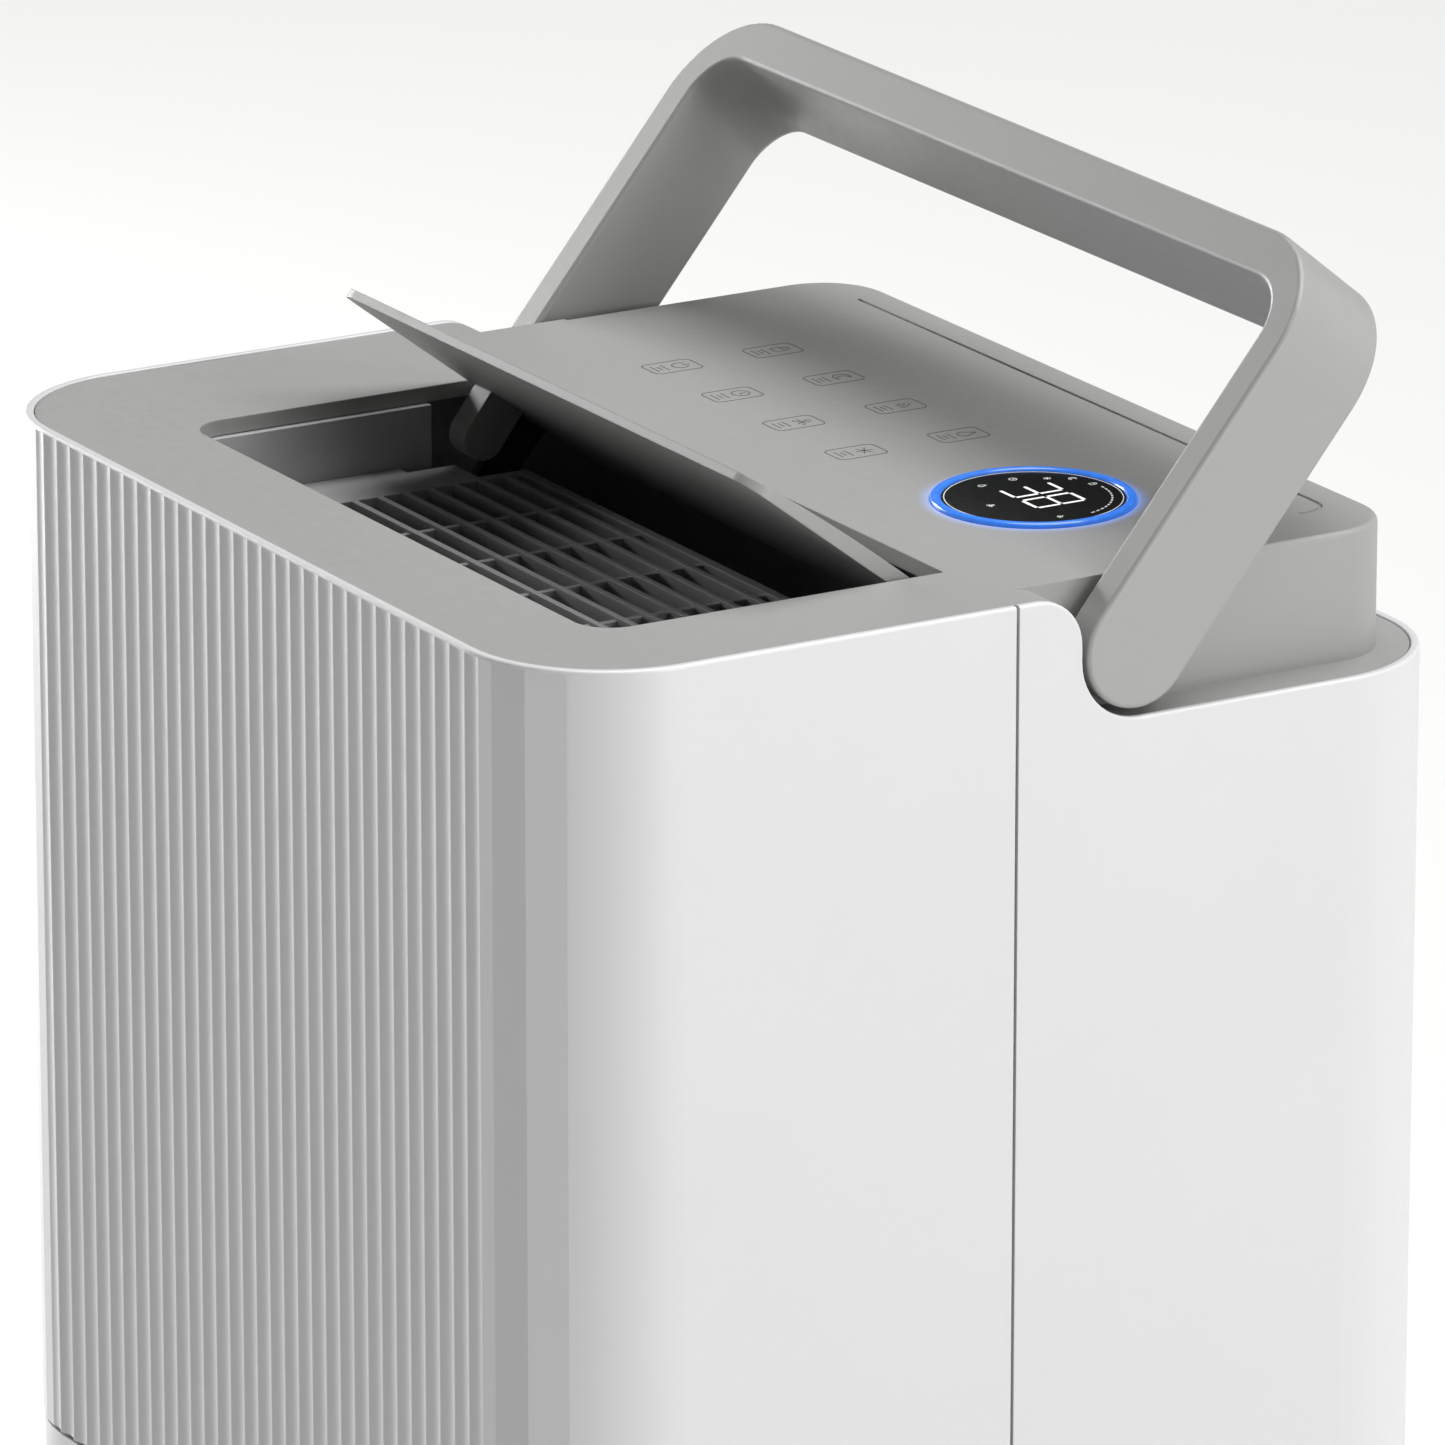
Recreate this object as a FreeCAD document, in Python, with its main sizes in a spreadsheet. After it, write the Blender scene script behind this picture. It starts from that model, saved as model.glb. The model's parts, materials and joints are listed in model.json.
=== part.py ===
"""Compressor dehumidifier, 320 x 288 mm in plan, as an assembly of separate pieces.

Frame: +Z up, front towards -Y, origin on the floor under the middle of the body. Millimetres.
Every driving size is a named cell of the spreadsheet "dims", and the pieces are bound to those cells.
"""
import FreeCAD, Part
import math
import os
import re

import Sketcher
from FreeCAD import Placement, Rotation, Vector

SIZES = {
    # body
    "body_width": 320, "body_depth": 288, "rim_height": 500, "corner_radius": 41.5, "wall": 2.5,
    "cover_foot": 9, "seam_y": -2, "seam_gap": 0.9,
    # fluted front
    "flute_foot": 206, "flute_span": 251, "flute_count": 32, "flute_depth": 1.1, "flute_land": 0.4,
    "rim_band": 1.1, "rim_round": 0.9, "lip_round": 0.6,
    "facet_count": 3, "facet_turn": 15, "facet_depth": 0.12,
    # notch for the handle in the side walls, and the deck inside it
    "pivot_y": 36.3, "pivot_z": 481.8, "notch_radius": 18, "shoulder_radius": 13.8,
    "deck_top": 499.5, "deck_sheet": 3, "deck_gap": 0.25, "deck_foot": 461, "channel_gap": 0.5,
    "block_half": 144.5, "block_back": 130, "block_corner": 20, "block_edge": 1.8,
    # air outlet
    "mouth_left": -103, "mouth_right": 122, "mouth_front": -107.5, "mouth_back": -1.5, "mouth_corner": 11,
    "mouth_skirt": 4.5,
    "duct_foot": 435, "duct_top": 494.8, "duct_ledge": 2.4, "duct_wall": 2.5, "duct_back": 28,
    "duct_pocket": 12.5,
    "grille_top": 478, "grille_depth": 10, "bar_pitch": 8, "bar_count": 11, "bar_sheet": 1.9,
    "rib_pitch": 33, "rib_count": 5, "grille_left": -82, "grille_right": 115, "grille_back": -12,
    # louvre flap, in its own frame: hinge axis at the origin, flap closed
    "hinge_y": -32.5, "hinge_z": 447, "flap_open": 37.4, "flap_tip": -73.6, "flap_rear": 21.5,
    "flap_corner": 8, "flap_gap": 1.4, "flap_level": 52.5, "flap_crown": 2, "flap_edge": 2.5,
    "flap_shaft_radius": 3,
    "lug_y": -15.6, "lug_z": 38.1, "lug_radius": 6.3, "lug_width": 9,
    # handle, in its own frame: pivot axis at the origin, arms along Y
    "handle_lean": 50.7, "handle_half": 159, "handle_reach": 115.3, "handle_round": 16, "arm_sheet": 11,
    "bar_front": 13.3, "bar_back": 19.3, "handle_corner": 30, "handle_inner_corner": 15, "handle_edge": 1.3,
    "pin_radius": 4, "fit": 0.05,
    # display and touch keys
    "display_x": 76.4, "display_y": 55, "ring_radius": 28, "window_radius": 24.9,
    "key_x": -86.1, "key_pitch": 33.1, "key_row_front": 37.5, "key_row_back": 70.3, "board_z": 488,
    # base and frame
    "foot_height": 12, "foot_radius": 15, "foot_x": 115, "foot_y": 100, "tray_floor": 18, "tray_rim": 30,
    "shelf_z": 206.2, "shelf_sheet": 3, "bay_wall_y": 4,
    # fan
    "fan_x": 21, "fan_z": 320, "scroll_radius": 100, "scroll_front": -110.5, "scroll_back": -15,
    "fan_radius": 78, "blade_count": 30, "fan_length": 54, "fan_y": -78, "hub_radius": 12, "fan_shaft_radius": 4,
    # coils
    "coil_foot": 222, "coil_height": 218, "coil_depth": 24, "evaporator_y": 108, "condenser_y": 74,
    "riser_x": -147, "tube_radius": 4.5, "tube_first": 240, "tube_pitch": 26, "tube_runs": 8,
    "coil_half": 120, "fin_pitch": 10,
    "bend_x": 123, "tube_end": 132,
    # compressor
    "compressor_x": 70, "compressor_y": 72, "compressor_radius": 46, "compressor_foot": 30,
    "compressor_top": 168, "flange_radius": 63, "mount_circle": 56,
    # water tank
    "tank_half": 146, "tank_front_y": -136, "tank_back_y": 0, "tank_foot": 20, "tank_top": 175,
    "tank_wall": 2.5, "tank_corner": 34, "tank_back_corner": 10, "panel_foot": 12, "panel_top": 205,
    "panel_inset": 0.5, "panel_side_y": -100, "grip_half": 45, "grip_depth": 18,
    "float_x": 95, "float_y": -12, "float_z": 150, "spout_y": -32,
    # air inlet
    "inlet_half": 112, "inlet_foot": 232, "inlet_top": 446, "slat_count": 25,
    # water outlet and cord
    "spigot_x": -90, "spigot_z": 120, "spigot_radius": 7, "gland_x": -100, "gland_z": 60,
}

doc = FreeCAD.newDocument("dehumidifier")
sheet = doc.addObject("Spreadsheet::Sheet", "dims")
for row, (name, size) in enumerate(SIZES.items(), 1):
    sheet.set(f"A{row}", name)
    sheet.set(f"B{row}", str(size))
    sheet.setAlias(f"B{row}", name)
doc.recompute()

WORDS = re.compile(r"\b(" + "|".join(sorted(SIZES, key=len, reverse=True)) + r")\b")
working = doc.addObject("Spreadsheet::Sheet", "working")
subparts = []


def bind(thing, prop, formula):
    """Ties a property to a formula in the sheet's names."""
    thing.setExpression(prop, WORDS.sub(r"dims.\1", str(formula)))


def number(formula):
    """What a formula in the sheet's names comes to now."""
    working.set("A1", "=" + WORDS.sub(r"dims.\1", str(formula)))
    working.recompute()
    return float(working.get("A1"))


def keep(thing, label):
    """Marks a finished piece: its label names its file."""
    thing.Label = label
    subparts.append(thing)
    return thing


# ---------------------------------------------------------------- primitives and booleans

def block(low, high, name="block"):
    """A box between two corners, each three formulas."""
    box = doc.addObject("Part::Box", name)
    for axis, side, start, end in zip("xyz", ("Length", "Width", "Height"), low, high):
        bind(box, side, f"({end}) - ({start})")
        bind(box, f".Placement.Base.{axis}", start)
    return box


TURNS = {
    "x": Rotation(Vector(0, 1, 0), 90),
    "y": Rotation(Vector(1, 0, 0), -90),
    "z": Rotation(),
}


def rod(axis, start, length, radius, name="rod"):
    """A cylinder from start along an axis."""
    cylinder = doc.addObject("Part::Cylinder", name)
    cylinder.Placement = Placement(Vector(), TURNS[axis])
    bind(cylinder, "Radius", radius)
    bind(cylinder, "Height", length)
    for letter, place in zip("xyz", start):
        bind(cylinder, f".Placement.Base.{letter}", place)
    return cylinder


def fuse(things, name="fuse"):
    joined = doc.addObject("Part::MultiFuse", name)
    joined.Shapes = things
    joined.Refine = True
    return joined


def cut(base, tools, name="cut"):
    result = doc.addObject("Part::Cut", name)
    result.Base = base
    result.Tool = tools[0] if len(tools) == 1 else fuse(tools)
    return result


def group(things, name="group"):
    """Separate solids that share one node."""
    together = doc.addObject("Part::Compound", name)
    together.Links = things
    return together


def shaped(shape, name="shape"):
    """A piece whose shape comes straight from Part."""
    feature = doc.addObject("Part::Feature", name)
    feature.Shape = shape
    feature.Placement = Placement()
    return feature


# ---------------------------------------------------------------- sketched bodies

def new_body(name):
    return doc.addObject("PartDesign::Body", name)


def origin_plane(body, role):
    return next(f for f in body.Origin.OriginFeatures if f.Role == role)


def place_sketch(body, plane, offset):
    sketch = body.newObject("Sketcher::SketchObject", f"{body.Name}_sketch")
    sketch.AttachmentSupport = [(origin_plane(body, f"{plane}_Plane"), "")]
    sketch.MapMode = "FlatFace"
    bind(sketch, ".AttachmentOffset.Base.z", offset)
    return sketch


def outline(body, plane, corners, offset="0", arcs=None):
    """A closed sketch. Each corner is two formulas; arcs maps a side's number to its (rise, radius).

    A rise above zero bows the side to the right of its direction of travel, one below zero to the left.
    """
    sketch = place_sketch(body, plane, offset)
    points = [Vector(number(a), number(b), 0) for a, b in corners]
    count = len(points)
    arcs = arcs or {}
    for side in range(count):
        start, end = points[side], points[(side + 1) % count]
        if side in arcs:
            along = (end - start).normalize()
            middle = (start + end) * 0.5 + Vector(along.y, -along.x, 0) * number(arcs[side][0])
            sketch.addGeometry(Part.Arc(start, middle, end))
        else:
            sketch.addGeometry(Part.LineSegment(start, end))

    def start_vertex(side):
        """Sketch arcs always run anticlockwise, so a clockwise one starts at its second vertex."""
        return 1 if (sketch.Geometry[side].StartPoint - points[side]).Length < 1e-6 else 2
    for side in range(count):
        following = (side + 1) % count
        sketch.addConstraint(Sketcher.Constraint(
            "Coincident", side, 3 - start_vertex(side), following, start_vertex(following)))
    for side, (across, up) in enumerate(corners):
        vertex = start_vertex(side)
        for kind, formula, value in (("DistanceX", across, points[side].x), ("DistanceY", up, points[side].y)):
            index = sketch.addConstraint(Sketcher.Constraint(kind, -1, 1, side, vertex, value))
            bind(sketch, f"Constraints[{index}]", formula)
    for side, (rise, radius) in arcs.items():
        index = sketch.addConstraint(Sketcher.Constraint("Radius", side, number(radius)))
        bind(sketch, f"Constraints[{index}]", radius)
    return sketch


def rounded(left, right, front, back, front_radius=None, back_radius=None):
    """The corners and arcs of a rectangle with its front or back corners rounded."""
    corners, arcs = [], {}

    def corner(start, end, sharp, radius):
        if radius is None:
            corners.append(sharp)
            return
        arcs[len(corners)] = (f"({radius}) * (1 - cos(45 deg))", radius)
        corners.extend([start, end])
    for radius, y, inward in ((front_radius, front, "+"), (back_radius, back, "-")):
        beyond = f"{y} {inward} ({radius})"
        near_left = (f"{left} + ({radius})", y)
        near_right = (f"{right} - ({radius})", y)
        if inward == "+":
            corner((left, beyond), near_left, (left, y), radius)
            corner(near_right, (right, beyond), (right, y), radius)
        else:
            corner((right, beyond), near_right, (right, y), radius)
            corner(near_left, (left, beyond), (left, y), radius)
    return corners, arcs


def plan(body, shape, offset):
    """A rounded rectangle seen from above."""
    corners, arcs = shape
    return outline(body, "XY", corners, offset, arcs)


def circle(body, plane, centre, radius, offset="0"):
    sketch = place_sketch(body, plane, offset)
    middle = Vector(number(centre[0]), number(centre[1]), 0)
    sketch.addGeometry(Part.Circle(middle, Vector(0, 0, 1), number(radius)))
    for kind, formula, value in (("DistanceX", centre[0], middle.x), ("DistanceY", centre[1], middle.y)):
        index = sketch.addConstraint(Sketcher.Constraint(kind, -1, 1, 0, 3, value))
        bind(sketch, f"Constraints[{index}]", formula)
    index = sketch.addConstraint(Sketcher.Constraint("Radius", 0, number(radius)))
    bind(sketch, f"Constraints[{index}]", radius)
    return sketch


def pad(body, sketch, length):
    feature = body.newObject("PartDesign::Pad", f"{body.Name}_pad")
    feature.Profile = sketch
    bind(feature, "Length", length)
    doc.recompute()
    return feature


def pocket(body, sketch, length, backwards=False):
    """Cuts away from the sketch, against its plane's normal unless backwards. It has to remove something."""
    before = body.Shape.Volume
    feature = body.newObject("PartDesign::Pocket", f"{body.Name}_pocket")
    feature.Profile = sketch
    feature.Reversed = backwards
    bind(feature, "Length", length)
    doc.recompute()
    if body.Shape.Volume >= before - 1e-6:
        raise RuntimeError(f"a pocket of {body.Name} cuts nothing")
    return feature


def round_off(body, radius, chosen):
    """Fillets the edges of the body that chosen() picks."""
    base = body.Tip
    names = [f"Edge{i}" for i, edge in enumerate(base.Shape.Edges, 1) if chosen(edge)]
    if not names:
        raise RuntimeError(f"no edge to round on {body.Name}")
    feature = body.newObject("PartDesign::Fillet", f"{body.Name}_fillet")
    feature.Base = (base, names)
    bind(feature, "Radius", radius)
    doc.recompute()
    return feature


def straight(edge, direction):
    if edge.Curve.TypeId != "Part::GeomLine":
        return False
    return abs(abs(edge.Curve.Direction.dot(direction)) - 1) < 1e-6


def upright_at(*places):
    """Picks upright edges at the given plan positions, each a pair of formulas."""
    spots = [(number(a), number(b)) for a, b in places]

    def chosen(edge):
        middle = edge.CenterOfMass
        return straight(edge, Vector(0, 0, 1)) and any(
            abs(middle.x - x) < 0.01 and abs(middle.y - y) < 0.01 for x, y in spots)
    return chosen


def crosswise_at(*places):
    """Picks edges along X at the given side-view positions, each a pair of formulas."""
    spots = [(number(a), number(b)) for a, b in places]

    def chosen(edge):
        middle = edge.CenterOfMass
        return straight(edge, Vector(1, 0, 0)) and any(
            abs(middle.y - y) < 0.01 and abs(middle.z - z) < 0.01 for y, z in spots)
    return chosen


def on_rim(inset):
    """Picks the upper edges of the casing that lie on its skin, moved inwards by a formula."""
    side, end = number(f"body_width / 2 - ({inset})"), number(f"body_depth / 2 - ({inset})")
    radius, seam = number(f"corner_radius - ({inset})"), number("seam_y")
    foot = number("pivot_z - notch_radius - 1")

    def chosen(edge):
        middle = edge.valueAt((edge.FirstParameter + edge.LastParameter) / 2)
        x, y = abs(middle.x), abs(middle.y)
        in_corner = x > side - radius and y > end - radius
        if in_corner:
            depth = abs(math.hypot(x - side + radius, y - end + radius) - radius)
        else:
            depth = min(abs(x - side), abs(y - end))
        at_seam = abs(middle.y - seam) < 1
        return depth < 0.01 and middle.z > foot and not at_seam
    return chosen


def mirrored_corners(x, y):
    return ((x, y), (f"-({x})", y))


def rectangle(left, right, front, back):
    return [(left, front), (right, front), (right, back), (left, back)]


# ---------------------------------------------------------------- casing

def flute_cutters():
    """Upright cutters: scallops across the front, and flat facets round the rest of its two corners."""
    half, depth = number("body_width / 2"), number("body_depth / 2")
    radius = number("corner_radius")
    foot, top = number("flute_foot - 1"), number("rim_height - rim_band")
    count, facets = int(number("flute_count")), int(number("facet_count"))
    land, rise, shave = number("flute_land"), number("flute_depth"), number("facet_depth")
    span = number("flute_span")
    pitch = span / count
    outside = -depth - 2
    cutters = []
    for k in range(count):
        left = -span / 2 + k * pitch + land / 2
        right = left + pitch - land
        hollow = Part.Arc(Vector(left, -depth, foot), Vector((left + right) / 2, -depth + rise, foot),
                          Vector(right, -depth, foot)).toShape()
        rim = Part.makePolygon([Vector(right, -depth, foot), Vector(right, outside, foot),
                                Vector(left, outside, foot), Vector(left, -depth, foot)])
        face = Part.Face(Part.Wire([hollow] + rim.Edges))
        cutters.append(face.extrude(Vector(0, 0, top - foot)))
    step = math.radians(number("facet_turn"))
    near = radius * math.cos(step / 2) - shave
    far = radius + 3
    for side in (-1, 1):
        centre = Vector(side * (half - radius), -depth + radius, foot)
        for k in range(facets):
            middle = step * (k + 0.5)
            turn = math.tan(step / 2)
            # the last facet runs on until it meets the round corner
            end_turn = math.tan(step / 2 * 1.3) if k == facets - 1 else turn
            out = Vector(side * math.sin(middle), -math.cos(middle), 0)
            along = Vector(side * math.cos(middle), math.sin(middle), 0)
            corners = [centre + out * near - along * (near * turn), centre + out * near + along * (near * end_turn),
                       centre + out * far + along * (far * end_turn), centre + out * far - along * (far * turn)]
            face = Part.Face(Part.makePolygon(corners + corners[:1]))
            cutters.append(face.extrude(Vector(0, 0, top - foot)))
    return shaped(Part.makeCompound(cutters), "flute_cutters")


def make_front_cover():
    shell = new_body("front_shell")
    edge_y = "seam_y - seam_gap / 2"
    outside = rounded("-body_width / 2", "body_width / 2", "-body_depth / 2", edge_y, "corner_radius")
    pad(shell, plan(shell, outside, "cover_foot"), "rim_height - cover_foot")
    inner = "body_width / 2 - wall"
    inside = rounded(f"-({inner})", inner, "-body_depth / 2 + wall", "seam_y + 1", "corner_radius - wall")
    pocket(shell, plan(shell, inside, "rim_height + 1"), "rim_height")
    pocket(shell, outline(shell, "XY", rectangle("-body_width", "body_width", "-body_depth", "panel_side_y"),
                          "flute_foot"), "flute_foot")
    round_off(shell, "rim_round", on_rim("0"))
    round_off(shell, "lip_round", on_rim("wall"))
    cover = cut(shell, [flute_cutters()], "front_cover_cut")
    return keep(cover, "front_cover")


def make_rear_cover():
    shell = new_body("rear_shell")
    edge_y = "seam_y + seam_gap / 2"
    outside = rounded("-body_width / 2", "body_width / 2", edge_y, "body_depth / 2", None, "corner_radius")
    pad(shell, plan(shell, outside, "cover_foot"), "rim_height - cover_foot")
    inner = "body_width / 2 - wall"
    inside = rounded(f"-({inner})", inner, "seam_y - 1", "body_depth / 2 - wall", None, "corner_radius - wall")
    pocket(shell, plan(shell, inside, "rim_height + 1"), "rim_height")
    notch = rectangle("pivot_y - notch_radius", "body_depth", "pivot_z - notch_radius", "rim_height + 1")
    pocket(shell, outline(shell, "YZ", notch, "body_width"), "2 * body_width")
    round_off(shell, "shoulder_radius", crosswise_at(("pivot_y - notch_radius", "rim_height")))
    round_off(shell, "notch_radius - 0.01", crosswise_at(("pivot_y - notch_radius", "pivot_z - notch_radius")))
    round_off(shell, "rim_round", on_rim("0"))
    round_off(shell, "lip_round", on_rim("wall"))
    inlet = rectangle("-inlet_half", "inlet_half", "inlet_foot", "inlet_top")
    pocket(shell, outline(shell, "XZ", inlet, "-(body_depth / 2 - wall - 1)"), "wall + 3")
    holes = [
        rod("y", ("spigot_x", "body_depth / 2 - wall - 1", "spigot_z"), "wall + 2", "15"),
        rod("y", ("gland_x", "body_depth / 2 - wall - 1", "gland_z"), "wall + 2", "8"),
    ]
    for x, z in rear_screw_places():
        holes.append(rod("y", (x, "body_depth / 2 - wall - 1", z), "wall + 2", "2.1"))
        holes.append(rod("y", (x, "body_depth / 2 - 1.8", z), "3", "4.1"))
    return keep(cut(shell, holes, "rear_cover_cut"), "rear_cover")


def rear_screw_places():
    return [(f"{side} * 112", height) for side in (-1, 1) for height in ("tray_rim - 6", "shelf_z - 4")]


def make_rear_screws():
    screws = []
    for x, z in rear_screw_places():
        head = rod("y", (x, "body_depth / 2 - 1.75", z), "1.6", "4")
        shank = rod("y", (x, "body_depth / 2 - 14", z), "12.3", "2")
        slot = block((f"{x} - 3", "body_depth / 2 - 0.8", f"{z} - 0.5"),
                     (f"{x} + 3", "body_depth / 2 + 1", f"{z} + 0.5"))
        screws.append(cut(fuse([head, shank]), [slot]))
    return keep(group(screws), "rear_screws")


def make_top_deck():
    deck = new_body("deck_body")
    half_x, half_y = "body_width / 2 - wall - deck_gap", "body_depth / 2 - wall - deck_gap"
    radius = "corner_radius - wall - deck_gap"
    pad(deck, plan(deck, rounded(f"-({half_x})", half_x, f"-({half_y})", half_y, radius, radius), "deck_foot"),
        "deck_top - deck_foot")
    # hollow underneath: one wide pocket at the front, one inside the raised block
    ceiling, depth = "deck_top - deck_sheet", "deck_top"
    front_x, front_y = f"{half_x} - deck_sheet", f"-({half_y}) + deck_sheet"
    hollow = rounded(f"-({front_x})", front_x, front_y, "2", f"{radius} - deck_sheet")
    pocket(deck, plan(deck, hollow, ceiling), depth)
    inside_x, inside_y = "block_half - deck_sheet", "block_back - deck_sheet"
    hollow = rounded(f"-({inside_x})", inside_x, "1", inside_y, None, "block_corner - deck_sheet")
    pocket(deck, plan(deck, hollow, ceiling), depth)
    # channels for the handle's arms and the ledge behind, which leave a raised block with rounded edges
    channel_y, channel_z = "pivot_y - notch_radius + channel_gap", "pivot_z - notch_radius - channel_gap"
    channel_width = "body_width / 2 - block_half"
    for start in ("body_width / 2", "-block_half"):
        pocket(deck, outline(deck, "YZ", rectangle("pivot_y", "body_depth", channel_z, "rim_height"), start),
               channel_width)
    pocket(deck, outline(deck, "XY", rectangle("-body_width", "body_width", "block_back", "body_depth"),
                         "rim_height"), f"rim_height - ({channel_z})")
    round_off(deck, "block_corner", upright_at(*mirrored_corners("block_half", "block_back")))
    top, back, side = number("deck_top"), number("block_back - 25"), number("block_half - 21")

    def block_rim(edge):
        middle = edge.CenterOfMass
        beside = abs(middle.x) > side and middle.y > number("pivot_y + 5")
        return abs(middle.z - top) < 0.01 and (beside or middle.y > back)
    round_off(deck, "block_edge", block_rim)
    # the channels go on forward to the shoulders, curved round the handle's ends
    for start in ("body_width / 2", "-block_half"):
        pocket(deck, outline(deck, "YZ", rectangle(channel_y, "pivot_y + 1", channel_z, "rim_height"), start),
               channel_width)
    round_off(deck, "shoulder_radius - channel_gap", crosswise_at((channel_y, "deck_top")))
    round_off(deck, "notch_radius - channel_gap", crosswise_at((channel_y, channel_z)))
    # air mouth, display seat, pivot holes
    border = rounded("mouth_left - 2", "mouth_right + 2", "mouth_front - 2", "mouth_back + 2",
                     "mouth_corner + 2")
    pad(deck, plan(deck, border, "deck_top - mouth_skirt"), "mouth_skirt - 1")
    mouth = rounded("mouth_left", "mouth_right", "mouth_front", "mouth_back", "mouth_corner")
    pocket(deck, plan(deck, mouth, "rim_height"), "mouth_skirt + 2")
    centre = ("display_x", "display_y")
    pocket(deck, circle(deck, "XY", centre, "ring_radius + 0.2", "rim_height"), "rim_height - deck_top + 2")
    pocket(deck, circle(deck, "XY", centre, "window_radius - 1.3", "rim_height"), "deck_sheet + 2")
    pocket(deck, circle(deck, "YZ", ("pivot_y", "pivot_z"), "6 + fit", "body_width"), "2 * body_width")
    # fine groove across the back of the block, hooking forward at its right end
    groove_y, end_x, hook = "block_back - 11", "block_half - 20", "10"
    groove = [("-block_half + 24", f"{groove_y} - 0.6"), (f"{end_x} - 1.2", f"{groove_y} - 0.6"),
              (f"{end_x} - 1.2", f"{groove_y} - {hook}"), (end_x, f"{groove_y} - {hook}"),
              (end_x, f"{groove_y} + 0.6"), ("-block_half + 24", f"{groove_y} + 0.6")]
    pocket(deck, outline(deck, "XY", groove, "rim_height"), "rim_height - deck_top + 0.6")
    round_off(deck, "7.2", upright_at((end_x, f"{groove_y} + 0.6")))
    round_off(deck, "6", upright_at((f"{end_x} - 1.2", f"{groove_y} - 0.6")))
    return keep(deck, "top_deck")


def make_base_tray():
    tray = new_body("tray_body")
    half_x, half_y = "body_width / 2 - wall - 0.7", "body_depth / 2 - wall - 0.7"
    radius = "corner_radius - wall - 0.7"
    pad(tray, plan(tray, rounded(f"-({half_x})", half_x, f"-({half_y})", half_y, radius, radius), "foot_height"),
        "tray_rim - foot_height")
    inner_x, inner_y = f"{half_x} - 3", f"{half_y} - 3"
    inside = rounded(f"-({inner_x})", inner_x, "-body_depth", inner_y, None, f"{radius} - 3")
    pocket(tray, plan(tray, inside, "tray_rim + 1"), "tray_rim + 1 - tray_floor")
    pocket(tray, outline(tray, "XY", rectangle("-body_width", "body_width", "-body_depth", "panel_side_y + 3"),
                         "tray_rim + 1"), "tray_rim + 1 - tray_floor")
    bolt_holes = [rod("z", (x, y, "foot_height - 1"), "tray_floor", "pin_radius + fit")
                  for x, y in mount_places()]
    screw_holes = [rod("y", (x, f"{half_y} - 4", z), "6", "2 + fit")
                   for x, z in rear_screw_places() if z == "tray_rim - 6"]
    return keep(cut(tray, bolt_holes + screw_holes, "tray_cut"), "base_tray")


def make_feet():
    feet = []
    for x in ("-foot_x", "foot_x"):
        for y in ("-foot_y", "foot_y"):
            stem = rod("z", (x, y, "3"), "foot_height - 3", "foot_radius - 2")
            sole = rod("z", (x, y, "0"), "3", "foot_radius")
            feet.append(fuse([stem, sole]))
    return keep(group(feet), "rubber_feet")


def make_shelf():
    shelf = new_body("shelf_body")
    half_x, half_y = "body_width / 2 - 6", "body_depth / 2 - 6"
    outside = rounded(f"-({half_x})", half_x, f"-({half_y})", half_y, "corner_radius - 6", "corner_radius - 6")
    pad(shelf, plan(shelf, outside, "shelf_z"), "shelf_sheet")
    bosses = [block((f"{x} - 6", f"{half_y} - 10", "shelf_z - 10"), (f"{x} + 6", half_y, "shelf_z"))
              for x, z in rear_screw_places() if z == "shelf_z - 4"]
    holes = [rod("y", (x, f"{half_y} - 11", z), "12", "2 + fit")
             for x, z in rear_screw_places() if z == "shelf_z - 4"]
    holes.append(rod("z", ("0", "spout_y", "shelf_z - 1"), "shelf_sheet + 2", "8.5"))
    for y in ("condenser_y", "evaporator_y"):
        holes.append(rod("z", ("riser_x", y, "shelf_z - 1"), "shelf_sheet + 2", "4.5"))
    return keep(cut(fuse([shelf] + bosses), holes, "shelf_cut"), "inner_frame")


def make_bay_wall():
    wall = block(("-150", "bay_wall_y", "tray_floor"), ("150", "bay_wall_y + 3", "shelf_z"))
    flange = block(("-150", "bay_wall_y + 3", "tray_floor"), ("150", "bay_wall_y + 10", "tray_floor + 3"))
    notch = block(("compressor_x - 55", "bay_wall_y + 2", "tray_floor - 1"),
                  ("compressor_x + 55", "bay_wall_y + 11", "tray_floor + 4"))
    return keep(fuse([wall, cut(flange, [notch])]), "bay_wall")


# ---------------------------------------------------------------- handle

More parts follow.
